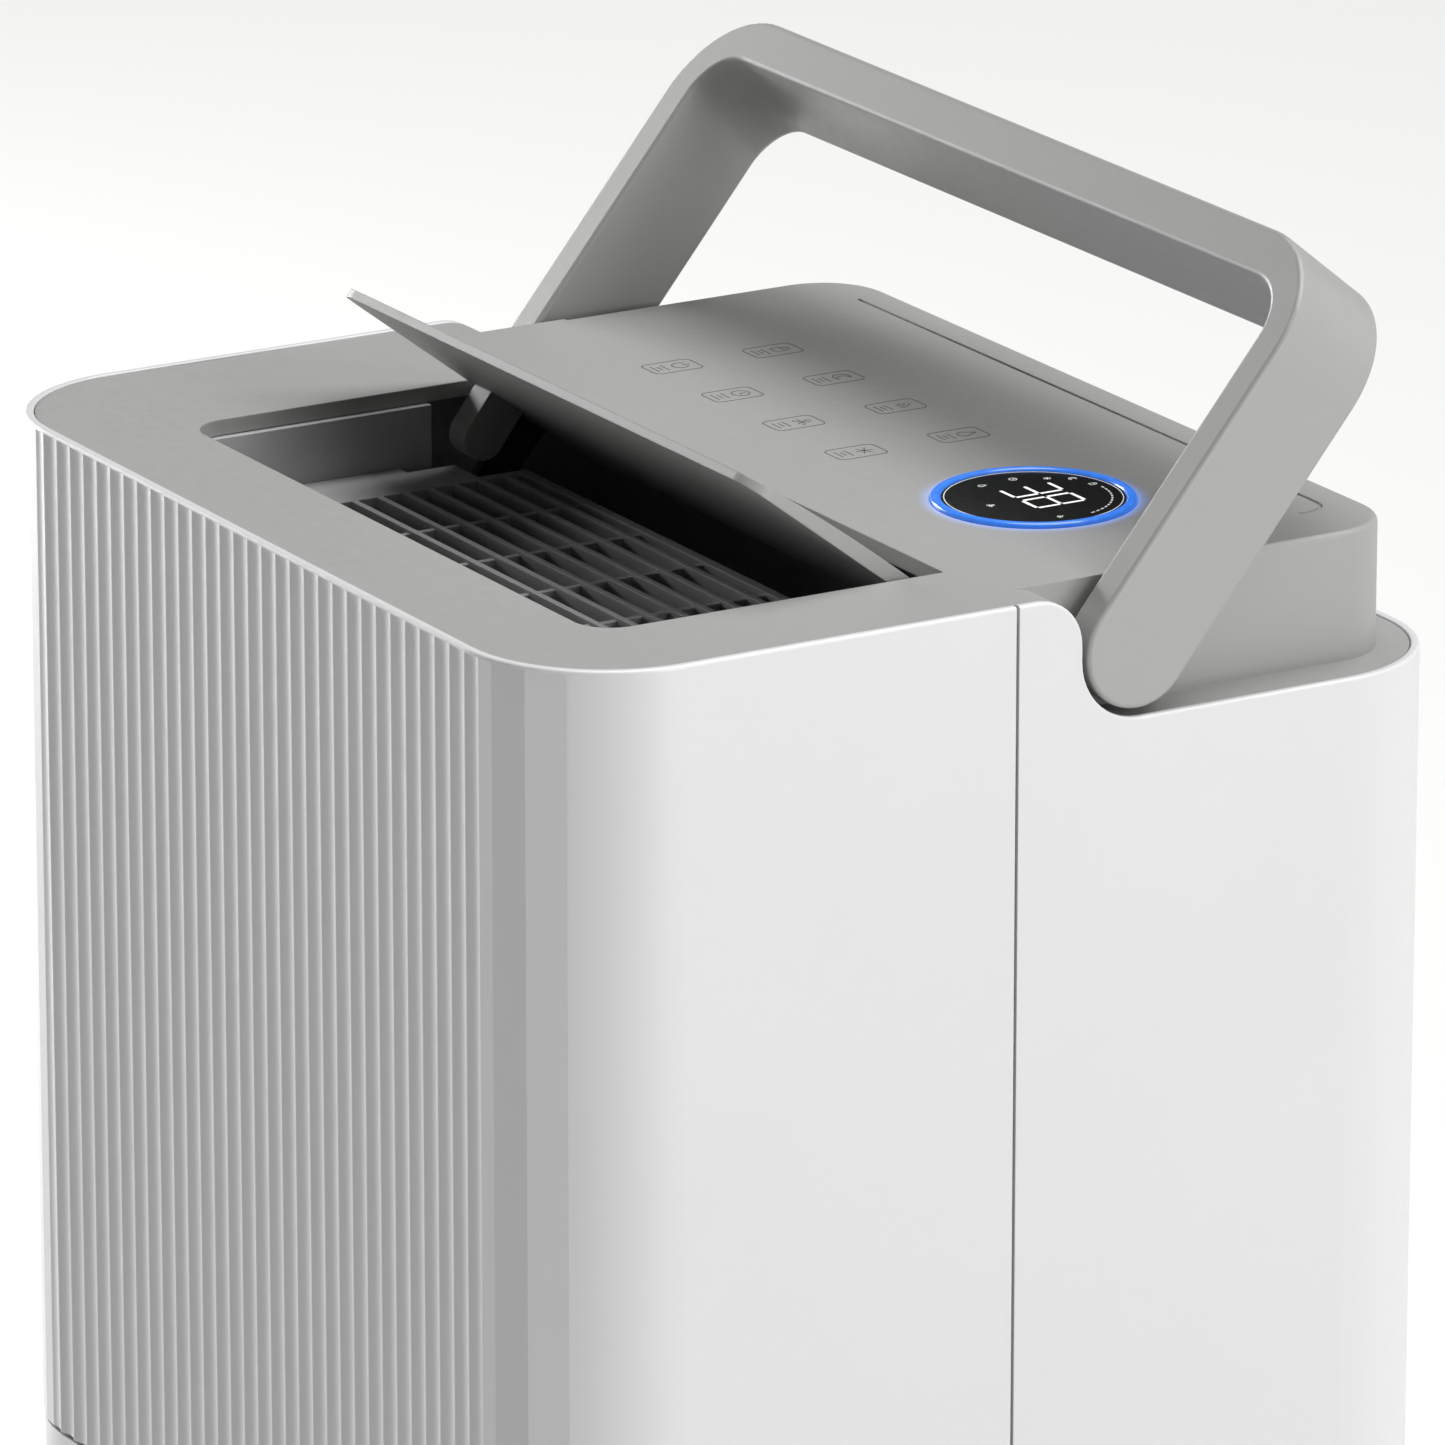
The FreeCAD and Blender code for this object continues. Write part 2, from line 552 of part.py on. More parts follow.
def make_handle():
    handle = new_body("handle_body")
    outer = rectangle("-handle_half", "handle_half", "0", "handle_reach")
    pad(handle, outline(handle, "XY", outer, "-handle_round"), "2 * handle_round")
    round_off(handle, "handle_corner", upright_at(*mirrored_corners("handle_half", "handle_reach")))
    inner = "handle_half - arm_sheet"
    slope = "(bar_back - bar_front) / (2 * handle_round)"
    window = [("-5", "-handle_round - 1"), (f"handle_reach - bar_back - {slope}", "-handle_round - 1"),
              (f"handle_reach - bar_front + {slope}", "handle_round + 1"), ("-5", "handle_round + 1")]
    pocket(handle, outline(handle, "YZ", window, inner), f"2 * ({inner})")
    middle_y, inner_x = number("handle_reach - (bar_back + bar_front) / 2"), number(inner)

    def inner_corner(edge):
        place = edge.CenterOfMass
        near = abs(abs(place.x) - inner_x) < 0.01 and abs(place.y - middle_y) < 0.2
        return near and edge.Length > number("2 * handle_round") - 1 and edge.Length < 40
    round_off(handle, "handle_inner_corner", inner_corner)
    for start in (inner, "-handle_half"):
        pad(handle, circle(handle, "YZ", ("0", "0"), "handle_round", start), "arm_sheet")
    half, reach, round_half = number("handle_half"), number("handle_reach"), number("handle_round")

    def outer_rim(edge):
        place = edge.CenterOfMass
        flat_side = abs(abs(place.z) - round_half) < 0.01
        outside = abs(abs(place.x) - half) < 0.01 or abs(place.y - reach) < 0.01
        corner = abs(place.x) > half - 20 and place.y > reach - 20
        end_disc = abs(abs(place.x) - half) < 0.01 and edge.Curve.TypeId == "Part::GeomCircle"
        return (flat_side and (outside or corner)) or end_disc
    round_off(handle, "handle_edge", outer_rim)
    pocket(handle, circle(handle, "YZ", ("0", "0"), "pin_radius + fit / 2", "handle_half - 3"),
           "2 * (handle_half - 3)")
    lean = Rotation(Vector(1, 0, 0), number("handle_lean"))
    handle.Placement = Placement(Vector(0, number("pivot_y"), number("pivot_z")), lean)
    return keep(handle, "handle")


def make_handle_pins():
    pins, bushes = [], []
    for side in (-1, 1):
        def span(a, b, radius, side=side):
            start = a if side > 0 else f"-({b})"
            return rod("x", (start, "pivot_y", "pivot_z"), f"({b}) - ({a})", radius)
        pins.append(fuse([span("134", "handle_half - 3.5", "pin_radius"), span("131", "134", "7")]))
        sleeve = fuse([span("134.3", "handle_half - arm_sheet - 0.3", "6"), span("134.3", "141.2", "9"),
                       span("block_half + 0.2", "handle_half - arm_sheet - 0.3", "9")])
        bushes.append(cut(sleeve, [span("130", "handle_half", "pin_radius + fit")]))
    keep(group(pins), "handle_pins")
    keep(group(bushes), "handle_bushes")


# ---------------------------------------------------------------- louvre

def hinge_frame():
    turn = Rotation(Vector(1, 0, 0), -number("flap_open"))
    return Placement(Vector(0, number("hinge_y"), number("hinge_z")), turn)


def make_flap():
    flap = new_body("flap_body")
    corners = [("flap_rear", "flap_level"), ("flap_tip", "flap_level"), ("flap_tip", "flap_level - flap_edge"),
               ("flap_rear", "flap_level - flap_edge")]
    chord = "(flap_rear - flap_tip)"
    crown = ("flap_crown", f"({chord} ^ 2 / 4 + flap_crown ^ 2) / (2 * flap_crown)")
    section = outline(flap, "YZ", corners, "mouth_left + flap_gap", {0: crown})
    pad(flap, section, "mouth_right - mouth_left - 2 * flap_gap")
    round_off(flap, "flap_corner", upright_at(("mouth_left + flap_gap", "flap_tip"),
                                              ("mouth_right - flap_gap", "flap_tip")))
    lug_start = "mouth_left + 6"
    tab = rectangle("lug_y - lug_radius", "lug_y + lug_radius", "lug_z", "flap_level - flap_edge + 0.5")
    pad(flap, outline(flap, "YZ", tab, lug_start), "lug_width")
    pad(flap, circle(flap, "YZ", ("lug_y", "lug_z"), "lug_radius", lug_start), "lug_width")
    flap.Placement = hinge_frame()
    return keep(flap, "louvre_flap")


def make_flap_arms():
    arms = []
    for start in ("mouth_left + duct_ledge + 0.4", "mouth_right - 4.8"):
        arm = new_body("arm_body")
        bar = [("-5", "0"), ("5", "0"), ("6", "flap_level - flap_edge - 0.05"),
               ("-6", "flap_level - flap_edge - 0.05")]
        pad(arm, outline(arm, "YZ", bar, start), "3.2")
        pad(arm, circle(arm, "YZ", ("0", "0"), "7", start), "3.2")
        pocket(arm, circle(arm, "YZ", ("0", "0"), "flap_shaft_radius + fit / 2", "body_width"), "2 * body_width")
        arm.Placement = hinge_frame()
        arms.append(arm)
    return keep(group(arms), "flap_arms")


def make_flap_drive():
    shaft = rod("x", ("mouth_left - 2.5 - duct_pocket", "hinge_y", "hinge_z"),
                "mouth_right - mouth_left + duct_pocket + 15.5", "flap_shaft_radius")
    keep(shaft, "flap_shaft")
    start = "mouth_right + 2.5 + duct_wall + 0.2"
    can = rod("x", (start, "hinge_y", "hinge_z"), "19", "14")
    ears = block((start, "hinge_y - 3.5", "hinge_z - 21"), (f"{start} + 1.2", "hinge_y + 3.5", "hinge_z + 21"))
    plug = block((f"{start} + 3", "hinge_y - 7", "hinge_z + 10"),
                 (f"{start} + 17", "hinge_y + 7", "hinge_z + 18"))
    bore = rod("x", (f"{start} - 1", "hinge_y", "hinge_z"), "10", "flap_shaft_radius + fit")
    holes = [rod("x", (f"{start} - 1", "hinge_y", f"hinge_z {sign} 17.5"), "4", "1.7") for sign in "+-"]
    keep(cut(fuse([can, ears, plug]), [bore] + holes), "flap_motor")


def make_duct():
    left, right = "mouth_left + duct_ledge", "mouth_right + 2.5"
    front, back = "mouth_front + 1", "duct_back"
    shell = block((f"{left} - duct_wall", f"{front} - duct_wall", "duct_foot"),
                  (f"{right} + duct_wall", f"{back} + duct_wall", "duct_top"))
    pocket_y = "hinge_y + 1"
    bump = block((f"{left} - duct_pocket", f"{pocket_y} - duct_wall", "duct_foot"),
                 (left, f"{back} + duct_wall", "duct_top"))
    hollow = block((left, front, "duct_foot + duct_wall"), (right, back, "duct_top + 1"))
    pocket_side = block((f"{left} - duct_pocket + duct_wall", pocket_y, "duct_foot + duct_wall"),
                        (f"{left} + 1", back, "duct_top + 1"))
    arm_side = block((f"{left} - 0.8", "hinge_y - 9", "duct_foot + duct_wall"),
                     (f"{left} + 1", f"{pocket_y} + 1", "grille_top - 2"))
    throat = block(("fan_x - scroll_radius + duct_wall", front, "duct_foot - 1"),
                   ("fan_x + scroll_radius - duct_wall", "scroll_back - duct_wall", "duct_foot + duct_wall + 1"))
    bearings = rod("x", ("-body_width / 2", "hinge_y", "hinge_z"), "body_width", "flap_shaft_radius + fit")
    keep(cut(fuse([shell, bump]), [hollow, pocket_side, arm_side, throat, bearings]), "outlet_duct")


def make_grille():
    foot, top = "grille_top - grille_depth", "grille_top"
    front, back = "mouth_front + 1.2", "grille_back"
    left, right = "grille_left", "grille_right"
    wall_left, wall_right = "mouth_left + duct_ledge + 0.2", "mouth_right + 2.3"
    arm_gap = "hinge_y - 9.5"
    pieces = [
        block((left, front, foot), (f"{left} + 3", back, top)),
        block((f"{right} - 3", front, foot), (right, back, top)),
        block((left, front, foot), (right, f"{front} + 3", top)),
        block((left, f"{back} - 3", foot), (right, back, top)),
        block((wall_left, front, f"{top} - 2"), (f"{left} + 1", arm_gap, top)),
        block(("mouth_left + duct_ledge + 4.8", f"{arm_gap} - 1", f"{top} - 2"),
              (f"{left} + 1", "grille_back - 15", top)),
        block((f"{right} - 1", front, f"{top} - 2"), (wall_right, arm_gap, top)),
    ]
    for k in range(int(number("bar_count"))):
        y = f"grille_back - 8 - {k} * bar_pitch"
        pieces.append(block((left, f"{y} - bar_sheet / 2", foot), (right, f"{y} + bar_sheet / 2", top)))
    for k in range(int(number("rib_count"))):
        x = f"grille_left + 35 + {k} * rib_pitch"
        pieces.append(block((f"{x} - bar_sheet / 2", front, foot), (f"{x} + bar_sheet / 2", back, f"{top} - 1")))
    keep(fuse(pieces), "outlet_grille")


# ---------------------------------------------------------------- display and keys

def make_display():
    seat = "deck_top - 2"
    x, y = "display_x", "display_y"
    ring = new_body("ring_body")
    pad(ring, circle(ring, "XY", (x, y), "ring_radius", seat), "3.4")
    pocket(ring, circle(ring, "XY", (x, y), "window_radius + 0.15", f"{seat} + 10"), "20")
    top = number(f"{seat} + 3.4")
    round_off(ring, "1.2", lambda edge: abs(edge.CenterOfMass.z - top) < 0.01)
    keep(ring, "display_ring")
    keep(rod("z", (x, y, seat), "2.6", "window_radius"), "display_window")
    board = block((f"{x} - 26", "duct_back + duct_wall + 1", "board_z"),
                  (f"{x} + 26", f"{y} + 28", "board_z + 1.6"))
    lamps = []
    for k in range(8):
        angle = k * 45 + 22.5
        lamps.append(block((f"{x} + 20 * cos({angle} deg) - 1.5", f"{y} + 20 * sin({angle} deg) - 1.5",
                            "board_z + 1"),
                           (f"{x} + 20 * cos({angle} deg) + 1.5", f"{y} + 20 * sin({angle} deg) + 1.5",
                            "board_z + 3")))
    keep(fuse([board] + lamps), "display_board")


def key_places():
    for row in ("key_row_front", "key_row_back"):
        for k in range(4):
            yield f"key_x + {k} * key_pitch", row


def make_touch_board():
    board = block(("key_x - 14", "duct_back + duct_wall + 1", "board_z"),
                  ("key_x + 3 * key_pitch + 14", "key_row_back + 14", "board_z + 1.6"))
    chips = [block((f"key_x + {k} * 30 + 12", "50", "board_z - 1.5"),
                   (f"key_x + {k} * 30 + 22", "60", "board_z + 1"))
             for k in range(3)]
    keep(fuse([board] + chips), "touch_board")
    springs = []
    for x, y in key_places():
        coil = rod("z", (x, y, "board_z + 1.6"), "deck_top - deck_sheet - board_z - 1.7", "3")
        bore = rod("z", (x, y, "board_z"), "20", "2.2")
        springs.append(cut(coil, [bore]))
    keep(group(springs), "touch_springs")


# ---------------------------------------------------------------- fan

def scroll(front, back, shrink):
    """The scroll's outline as a solid between two planes, made smaller all round by shrink."""
    radius = f"scroll_radius - {shrink}"
    drum = rod("y", ("fan_x", front, "fan_z"), f"({back}) - ({front})", radius)
    chimney = block((f"fan_x - ({radius})", front, "fan_z"), (f"fan_x + ({radius})", back, "duct_foot - 0.1"))
    return fuse([drum, chimney])


def make_fan_housing():
    middle = "(scroll_front + scroll_back) / 2"
    chimney_top = block(("fan_x - scroll_radius + duct_wall", "scroll_front + duct_wall", "duct_foot - 2"),
                        ("fan_x + scroll_radius - duct_wall", "scroll_back - duct_wall", "duct_foot + 2"))
    front = cut(scroll("scroll_front", middle, "0"),
                [scroll("scroll_front + duct_wall", f"{middle} + 1", "duct_wall"), chimney_top])
    keep(front, "fan_housing_front")
    inlet = rod("y", ("fan_x", "scroll_back - duct_wall - 1", "fan_z"), "duct_wall + 2", "fan_radius - 16")
    chimney_top_too = block(("fan_x - scroll_radius + duct_wall", "scroll_front + duct_wall", "duct_foot - 2"),
                            ("fan_x + scroll_radius - duct_wall", "scroll_back - duct_wall", "duct_foot + 2"))
    rear = cut(scroll(middle, "scroll_back", "0"),
               [scroll(f"{middle} - 1", "scroll_back - duct_wall", "duct_wall"), inlet, chimney_top_too])
    keep(rear, "fan_housing_rear")


def make_impeller():
    wheel = new_body("wheel_body")
    pad(wheel, circle(wheel, "XY", ("0", "0"), "fan_radius"), "2")
    pad(wheel, circle(wheel, "XY", ("0", "0"), "hub_radius"), "20")
    inner = "fan_radius - 16"
    blade = [(inner, "-0.6"), (f"{inner} + 8", "2.2"), ("fan_radius - 0.5", "7"), ("fan_radius - 0.5", "8.4"),
             (f"{inner} + 8", "3.6"), (inner, "0.6")]
    sketch = outline(wheel, "XY", blade)
    vane = pad(wheel, sketch, "fan_length - 1")
    pattern = wheel.newObject("PartDesign::PolarPattern", "vanes")
    pattern.Originals = [vane]
    pattern.Axis = (sketch, ["N_Axis"])
    pattern.Angle = 360
    bind(pattern, "Occurrences", "blade_count")
    wheel.Tip = pattern
    doc.recompute()
    hoop = circle(wheel, "XY", ("0", "0"), "fan_radius", "fan_length - 3")
    index = hoop.addGeometry(Part.Circle(Vector(), Vector(0, 0, 1), number(inner)))
    hoop.addConstraint(Sketcher.Constraint("Coincident", index, 3, -1, 1))
    bore = hoop.addConstraint(Sketcher.Constraint("Radius", index, number(inner)))
    bind(hoop, f"Constraints[{bore}]", inner)
    pad(wheel, hoop, "3")
    pocket(wheel, circle(wheel, "XY", ("0", "0"), "fan_shaft_radius + fit / 2", "fan_length"), "fan_length + 5")
    wheel.Placement = Placement(Vector(number("fan_x"), number("fan_y"), number("fan_z")), TURNS["y"])
    keep(wheel, "fan_impeller")


def make_fan_motor():
    seat = "scroll_front + duct_wall"
    can = rod("y", ("fan_x", seat, "fan_z"), "24", "36")
    boss = rod("y", ("fan_x", f"{seat} + 24", "fan_z"), "3", "12")
    keep(fuse([can, boss]), "fan_motor")
    shaft = rod("y", ("fan_x", f"{seat} + 27.3", "fan_z"), "30", "fan_shaft_radius")
    keep(shaft, "fan_shaft")
    nut = doc.addObject("Part::Prism", "nut")
    nut.Polygon = 6
    bind(nut, "Circumradius", "8")
    bind(nut, "Height", "5")
    nut.Placement = Placement(Vector(), TURNS["y"])
    for letter, place in zip("xyz", ("fan_x", "fan_y + 20.1", "fan_z")):
        bind(nut, f".Placement.Base.{letter}", place)
    bore = rod("y", ("fan_x", "fan_y + 15", "fan_z"), "20", "fan_shaft_radius + fit / 2")
    keep(cut(nut, [bore]), "fan_nut")


# ---------------------------------------------------------------- refrigeration

def tube_heights():
    return [number(f"tube_first + {k} * tube_pitch") for k in range(int(number("tube_runs")))]


def route_wire(points, bend):
    """Straight runs joined by tangent arcs of one radius."""
    edges, start = [], points[0]
    for before, corner, after in zip(points, points[1:], points[2:]):
        into, out = (before - corner).normalize(), (after - corner).normalize()
        half_turn = into.getAngle(out) / 2
        reach = bend / math.tan(half_turn)
        first, last = corner + into * reach, corner + out * reach
        centre = corner + (into + out).normalize() * (bend / math.sin(half_turn))
        middle = centre + (corner - centre).normalize() * bend
        edges.append(Part.makeLine(start, first))
        edges.append(Part.Arc(first, middle, last).toShape())
        start = last
    edges.append(Part.makeLine(start, points[-1]))
    return Part.Wire(edges)


def bent_tube(points, radius, bend):
    wire = route_wire(points, bend)
    ring = Part.Wire(Part.makeCircle(radius, points[0], points[1] - points[0]))
    tube = wire.makePipeShell([ring], True, False)
    area = math.pi * radius ** 2
    if abs(tube.Volume / (area * wire.Length) - 1) > 0.01:
        raise RuntimeError("a bent tube has the wrong volume")
    return tube


def serpentine(y):
    """One tube that runs to and fro across the coil, turning in half circles at each side."""
    side, end = number("bend_x"), number("tube_end")
    radius, bend = number("tube_radius"), number("tube_pitch / 2")
    heights = tube_heights()
    start = Vector(-end, y, heights[0])
    edges, here, direction = [], start, 1
    for low, high in zip(heights, heights[1:]):
        corner = Vector(direction * side, y, low)
        edges.append(Part.makeLine(here, corner))
        middle = Vector(direction * (side + bend), y, (low + high) / 2)
        here = Vector(direction * side, y, high)
        edges.append(Part.Arc(corner, middle, here).toShape())
        direction = -direction
    edges.append(Part.makeLine(here, Vector(-end, y, heights[-1])))
    wire = Part.Wire(edges)
    ring = Part.Wire(Part.makeCircle(radius, start, Vector(1, 0, 0)))
    return wire.makePipeShell([ring], True, False)


def make_coil(name, y):
    fins = []
    count = int(number("2 * coil_half / fin_pitch")) + 1
    for k in range(count):
        x = f"-coil_half + {k} * fin_pitch"
        fins.append(block((f"{x} - 0.2", f"{y} - coil_depth / 2", "coil_foot"),
                          (f"{x} + 0.2", f"{y} + coil_depth / 2", "coil_foot + coil_height")))
    holes = [rod("x", ("-coil_half - 5", y, f"tube_first + {k} * tube_pitch"), "2 * coil_half + 10",
                 "tube_radius + fit") for k in range(int(number("tube_runs")))]
    keep(cut(group(fins), holes), f"{name}_fins")
    keep(shaped(serpentine(number(y))), f"{name}_coil")


def mount_places():
    for turn in (90, 210, 330):
        yield (f"compressor_x + mount_circle * cos({turn} deg)",
               f"compressor_y + mount_circle * sin({turn} deg)")


def make_compressor():
    can = new_body("can_body")
    centre = ("compressor_x", "compressor_y")
    pad(can, circle(can, "XY", centre, "compressor_radius", "compressor_foot"),
        "compressor_top - compressor_foot")
    top = number("compressor_top")
    round_off(can, "20", lambda edge: abs(edge.CenterOfMass.z - top) < 0.01)
    pad(can, circle(can, "XY", centre, "flange_radius", "compressor_foot"), "3")
    for place in mount_places():
        pocket(can, circle(can, "XY", place, "pin_radius + fit", "compressor_foot + 10"), "20")
    keep(can, "compressor")
    mounts, bolts = [], []
    for x, y in mount_places():
        ring = rod("z", (x, y, "tray_floor"), "compressor_foot - tray_floor", "9")
        bore = rod("z", (x, y, "tray_floor - 1"), "20", "pin_radius + fit")
        mounts.append(cut(ring, [bore]))
        shank = rod("z", (x, y, "foot_height + 0.5"), "compressor_foot + 3 - foot_height - 0.5", "pin_radius")
        head = rod("z", (x, y, "compressor_foot + 3"), "4", "6.5")
        bolts.append(fuse([shank, head]))
    keep(group(mounts), "compressor_mounts")
    keep(group(bolts), "compressor_bolts")
    keep(rod("z", ("0", "90", "60"), "90", "15"), "accumulator")


def make_pipes():
    top, end = number("compressor_top"), number("tube_end")
    x, y = number("compressor_x"), number("compressor_y")
    warm, cold = number("condenser_y"), number("evaporator_y")
    heights = tube_heights()
    riser = number("riser_x")
    discharge = [Vector(x, y, top + 0.05), Vector(x, y, top + 20), Vector(riser, warm, top + 20),
                 Vector(riser, warm, heights[-1]), Vector(-end - 0.05, warm, heights[-1])]
    keep(shaped(bent_tube(discharge, 3, 9)), "discharge_pipe")
    suction = [Vector(-end - 0.05, cold, heights[0]), Vector(riser, cold, heights[0]),
               Vector(riser, cold, top + 5),
               Vector(0, 90, top + 5), Vector(0, 90, 150.05)]
    keep(shaped(bent_tube(suction, 3, 9)), "suction_pipe")
    between = (warm + cold) / 2
    capillary = [Vector(-end - 0.05, warm, heights[0]), Vector(-141, warm, heights[0]),
                 Vector(-141, between, heights[0]), Vector(-141, between, heights[-1]),
                 Vector(-141, cold, heights[-1]), Vector(-end - 0.05, cold, heights[-1])]
    keep(shaped(bent_tube(capillary, 1.2, 4)), "capillary_tube")


def make_drip_tray():
    foot, top = "shelf_z + shelf_sheet + 0.2", "coil_foot - 1"
    pan = block(("-132", "52", foot), ("132", "124", top))
    trough = block(("-9", "-42", foot), ("9", "53", f"{foot} + 7.5"))
    spout = rod("z", ("0", "spout_y", "shelf_z - 14"), "20", "8")
    hollow = block(("-130", "54", f"{foot} + 2"), ("130", "122", f"{top} + 1"))
    channel = block(("-7", "-40", f"{foot} + 2"), ("7", "55", f"{top} + 1"))
    bore = rod("z", ("0", "spout_y", "shelf_z - 15"), "25", "6")
    keep(cut(fuse([pan, trough, spout]), [hollow, channel, bore]), "drip_tray")


# ---------------------------------------------------------------- electrics

def make_electrics():
    case = block(("-150", "12", "40"), ("-50", "48", "160"))
    hollow = block(("-148", "14", "42"), ("-52", "46", "161"))
    keep(cut(case, [hollow]), "board_box")
    board = block(("-146", "20", "46"), ("-54", "21.6", "150"))
    relay = block(("-140", "21", "60"), ("-118", "36", "78"))
    supply = block(("-105", "21", "60"), ("-72", "40", "90"))
    sockets = [block((f"-140 + {k} * 16", "21", "132"), (f"-128 + {k} * 16", "30", "140")) for k in range(5)]
    keep(fuse([board, relay, supply] + sockets), "main_board")
    can = rod("z", ("-100", "95", "tray_floor"), "82", "18")
    tabs = [block((f"-100 + {k} * 12 - 3", "92", "tray_floor + 80"),
                  (f"-100 + {k} * 12 + 3", "93", "tray_floor + 92"))
            for k in (-0.5, 0.5)]
    keep(fuse([can] + tabs), "run_capacitor")
    inner_back = "body_depth / 2 - wall"
    inner_side = "body_width / 2 - wall"
    keep(block((f"{inner_side} - 6", "60", "290"), (inner_side, "78", "310")), "humidity_sensor")
    switch = block(("float_x - 9", "bay_wall_y - 3", "float_z - 10"),
                   ("float_x + 9", "bay_wall_y", "float_z + 10"))
    keep(switch, "float_switch")
    collar = rod("y", ("gland_x", f"{inner_back} - 5", "gland_z"), "4.9", "11")
    sleeve = rod("y", ("gland_x", f"{inner_back} - 5", "gland_z"), "7.4", "7.9")
    bore = rod("y", ("gland_x", f"{inner_back} - 6", "gland_z"), "10", "3.6")
    keep(cut(fuse([collar, sleeve]), [bore]), "cord_gland")


# ---------------------------------------------------------------- water tank

def tank_plan(inset):
    """The tank's outline seen from above, made smaller all round by inset."""
    half = f"tank_half - ({inset})"
    return rounded(f"-({half})", half, f"tank_front_y + ({inset})", f"tank_back_y - ({inset})",
                   f"tank_corner - ({inset})", f"tank_back_corner - ({inset})")


def make_tank():
    tank = new_body("tank_body")
    pad(tank, plan(tank, tank_plan("0"), "tank_foot"), "tank_top - tank_foot")
    pocket(tank, plan(tank, tank_plan("tank_wall"), "tank_top + 1"), "tank_top + 1 - tank_foot - 3")
    ears = []
    for x in ("float_x - 12", "float_x + 9"):
        ears.append(block((x, "float_y - 5", "float_z - 6"), (f"{x} + 3", "tank_back_y - tank_wall + 0.5",
                                                            "float_z + 6")))
    bore = rod("x", ("float_x - 20", "float_y", "float_z"), "40", "2 + fit")
    keep(cut(fuse([tank] + ears), [bore]), "water_tank")


def make_tank_lid():
    lid = new_body("lid_body")
    pad(lid, plan(lid, tank_plan("0"), "tank_top"), "3")
    inset = "tank_wall + 0.4"
    pad(lid, plan(lid, tank_plan(inset), "tank_top - 4"), "4.5")
    pocket(lid, plan(lid, tank_plan(f"{inset} + 2"), "tank_top"), "6")
    pocket(lid, circle(lid, "XY", ("0", "spout_y"), "16", "tank_top + 10"), "20")
    pour = [("tank_half - 46", "tank_front_y + 12"), ("tank_half - 30", "tank_front_y + 20"),
            ("tank_half - 30", "tank_front_y + 50"), ("tank_half - 46", "tank_front_y + 50")]
    pocket(lid, outline(lid, "XY", pour, "tank_top + 10"), "20")
    keep(lid, "tank_lid")


def make_tank_front():
    panel = new_body("panel_body")
    half, front = "body_width / 2 - panel_inset", "-body_depth / 2 + panel_inset"
    radius = "corner_radius - panel_inset"
    pad(panel, plan(panel, rounded(f"-({half})", half, front, "panel_side_y - 0.5", radius), "panel_foot"),
        "panel_top - panel_foot")
    inner_x, inner_y = f"{half} - wall", f"{front} + wall"
    inside = rounded(f"-({inner_x})", inner_x, inner_y, "0", f"{radius} - wall")
    pocket(panel, plan(panel, inside, "panel_top + 1"), "panel_top")
    grip = [("-grip_half", "panel_top - grip_depth"), ("grip_half", "panel_top - grip_depth"),
            ("grip_half", "panel_top + 1"), ("-grip_half", "panel_top + 1")]
    pocket(panel, outline(panel, "XZ", grip, "body_depth / 2 - 10"), "20", backwards=True)

    def grip_corner(edge):
        middle = edge.CenterOfMass
        return (straight(edge, Vector(0, 1, 0)) and abs(abs(middle.x) - number("grip_half")) < 0.01
                and abs(middle.z - number("panel_top - grip_depth")) < 0.01)
    round_off(panel, "14", grip_corner)
    slot = rectangle("-6", "6", "45", "150")
    pocket(panel, outline(panel, "XZ", slot, "body_depth / 2 - 10"), "20", backwards=True)
    spacers = [block((f"{side} * 66 - 3", inner_y, "30"), (f"{side} * 66 + 3", "tank_front_y", "165"))
               for side in (-1, 1)]
    keep(fuse([panel] + spacers), "tank_front")
    window = block(("-5.9", f"{front} + 0.3", "45.1"), ("5.9", f"{front} + wall + 1", "149.9"))
    back = block(("-9", f"{front} + wall + 0.05", "42"), ("9", f"{front} + wall + 1.5", "153"))
    keep(fuse([window, back]), "level_window")


def make_float():
    hub = rod("x", ("float_x - 8.5", "float_y", "float_z"), "17", "5")
    arm = block(("float_x - 5", "float_y - 26", "float_z - 3"), ("float_x + 5", "float_y", "float_z + 3"))
    buoy = block(("float_x - 16", "float_y - 58", "float_z - 26"),
                 ("float_x + 16", "float_y - 24", "float_z + 2"))
    bore = rod("x", ("float_x - 20", "float_y", "float_z"), "40", "2 + fit")
    keep(cut(fuse([hub, arm, buoy]), [bore]), "tank_float")
    keep(rod("x", ("float_x - 12.5", "float_y", "float_z"), "25", "2"), "float_pin")


# ---------------------------------------------------------------- air inlet and drain

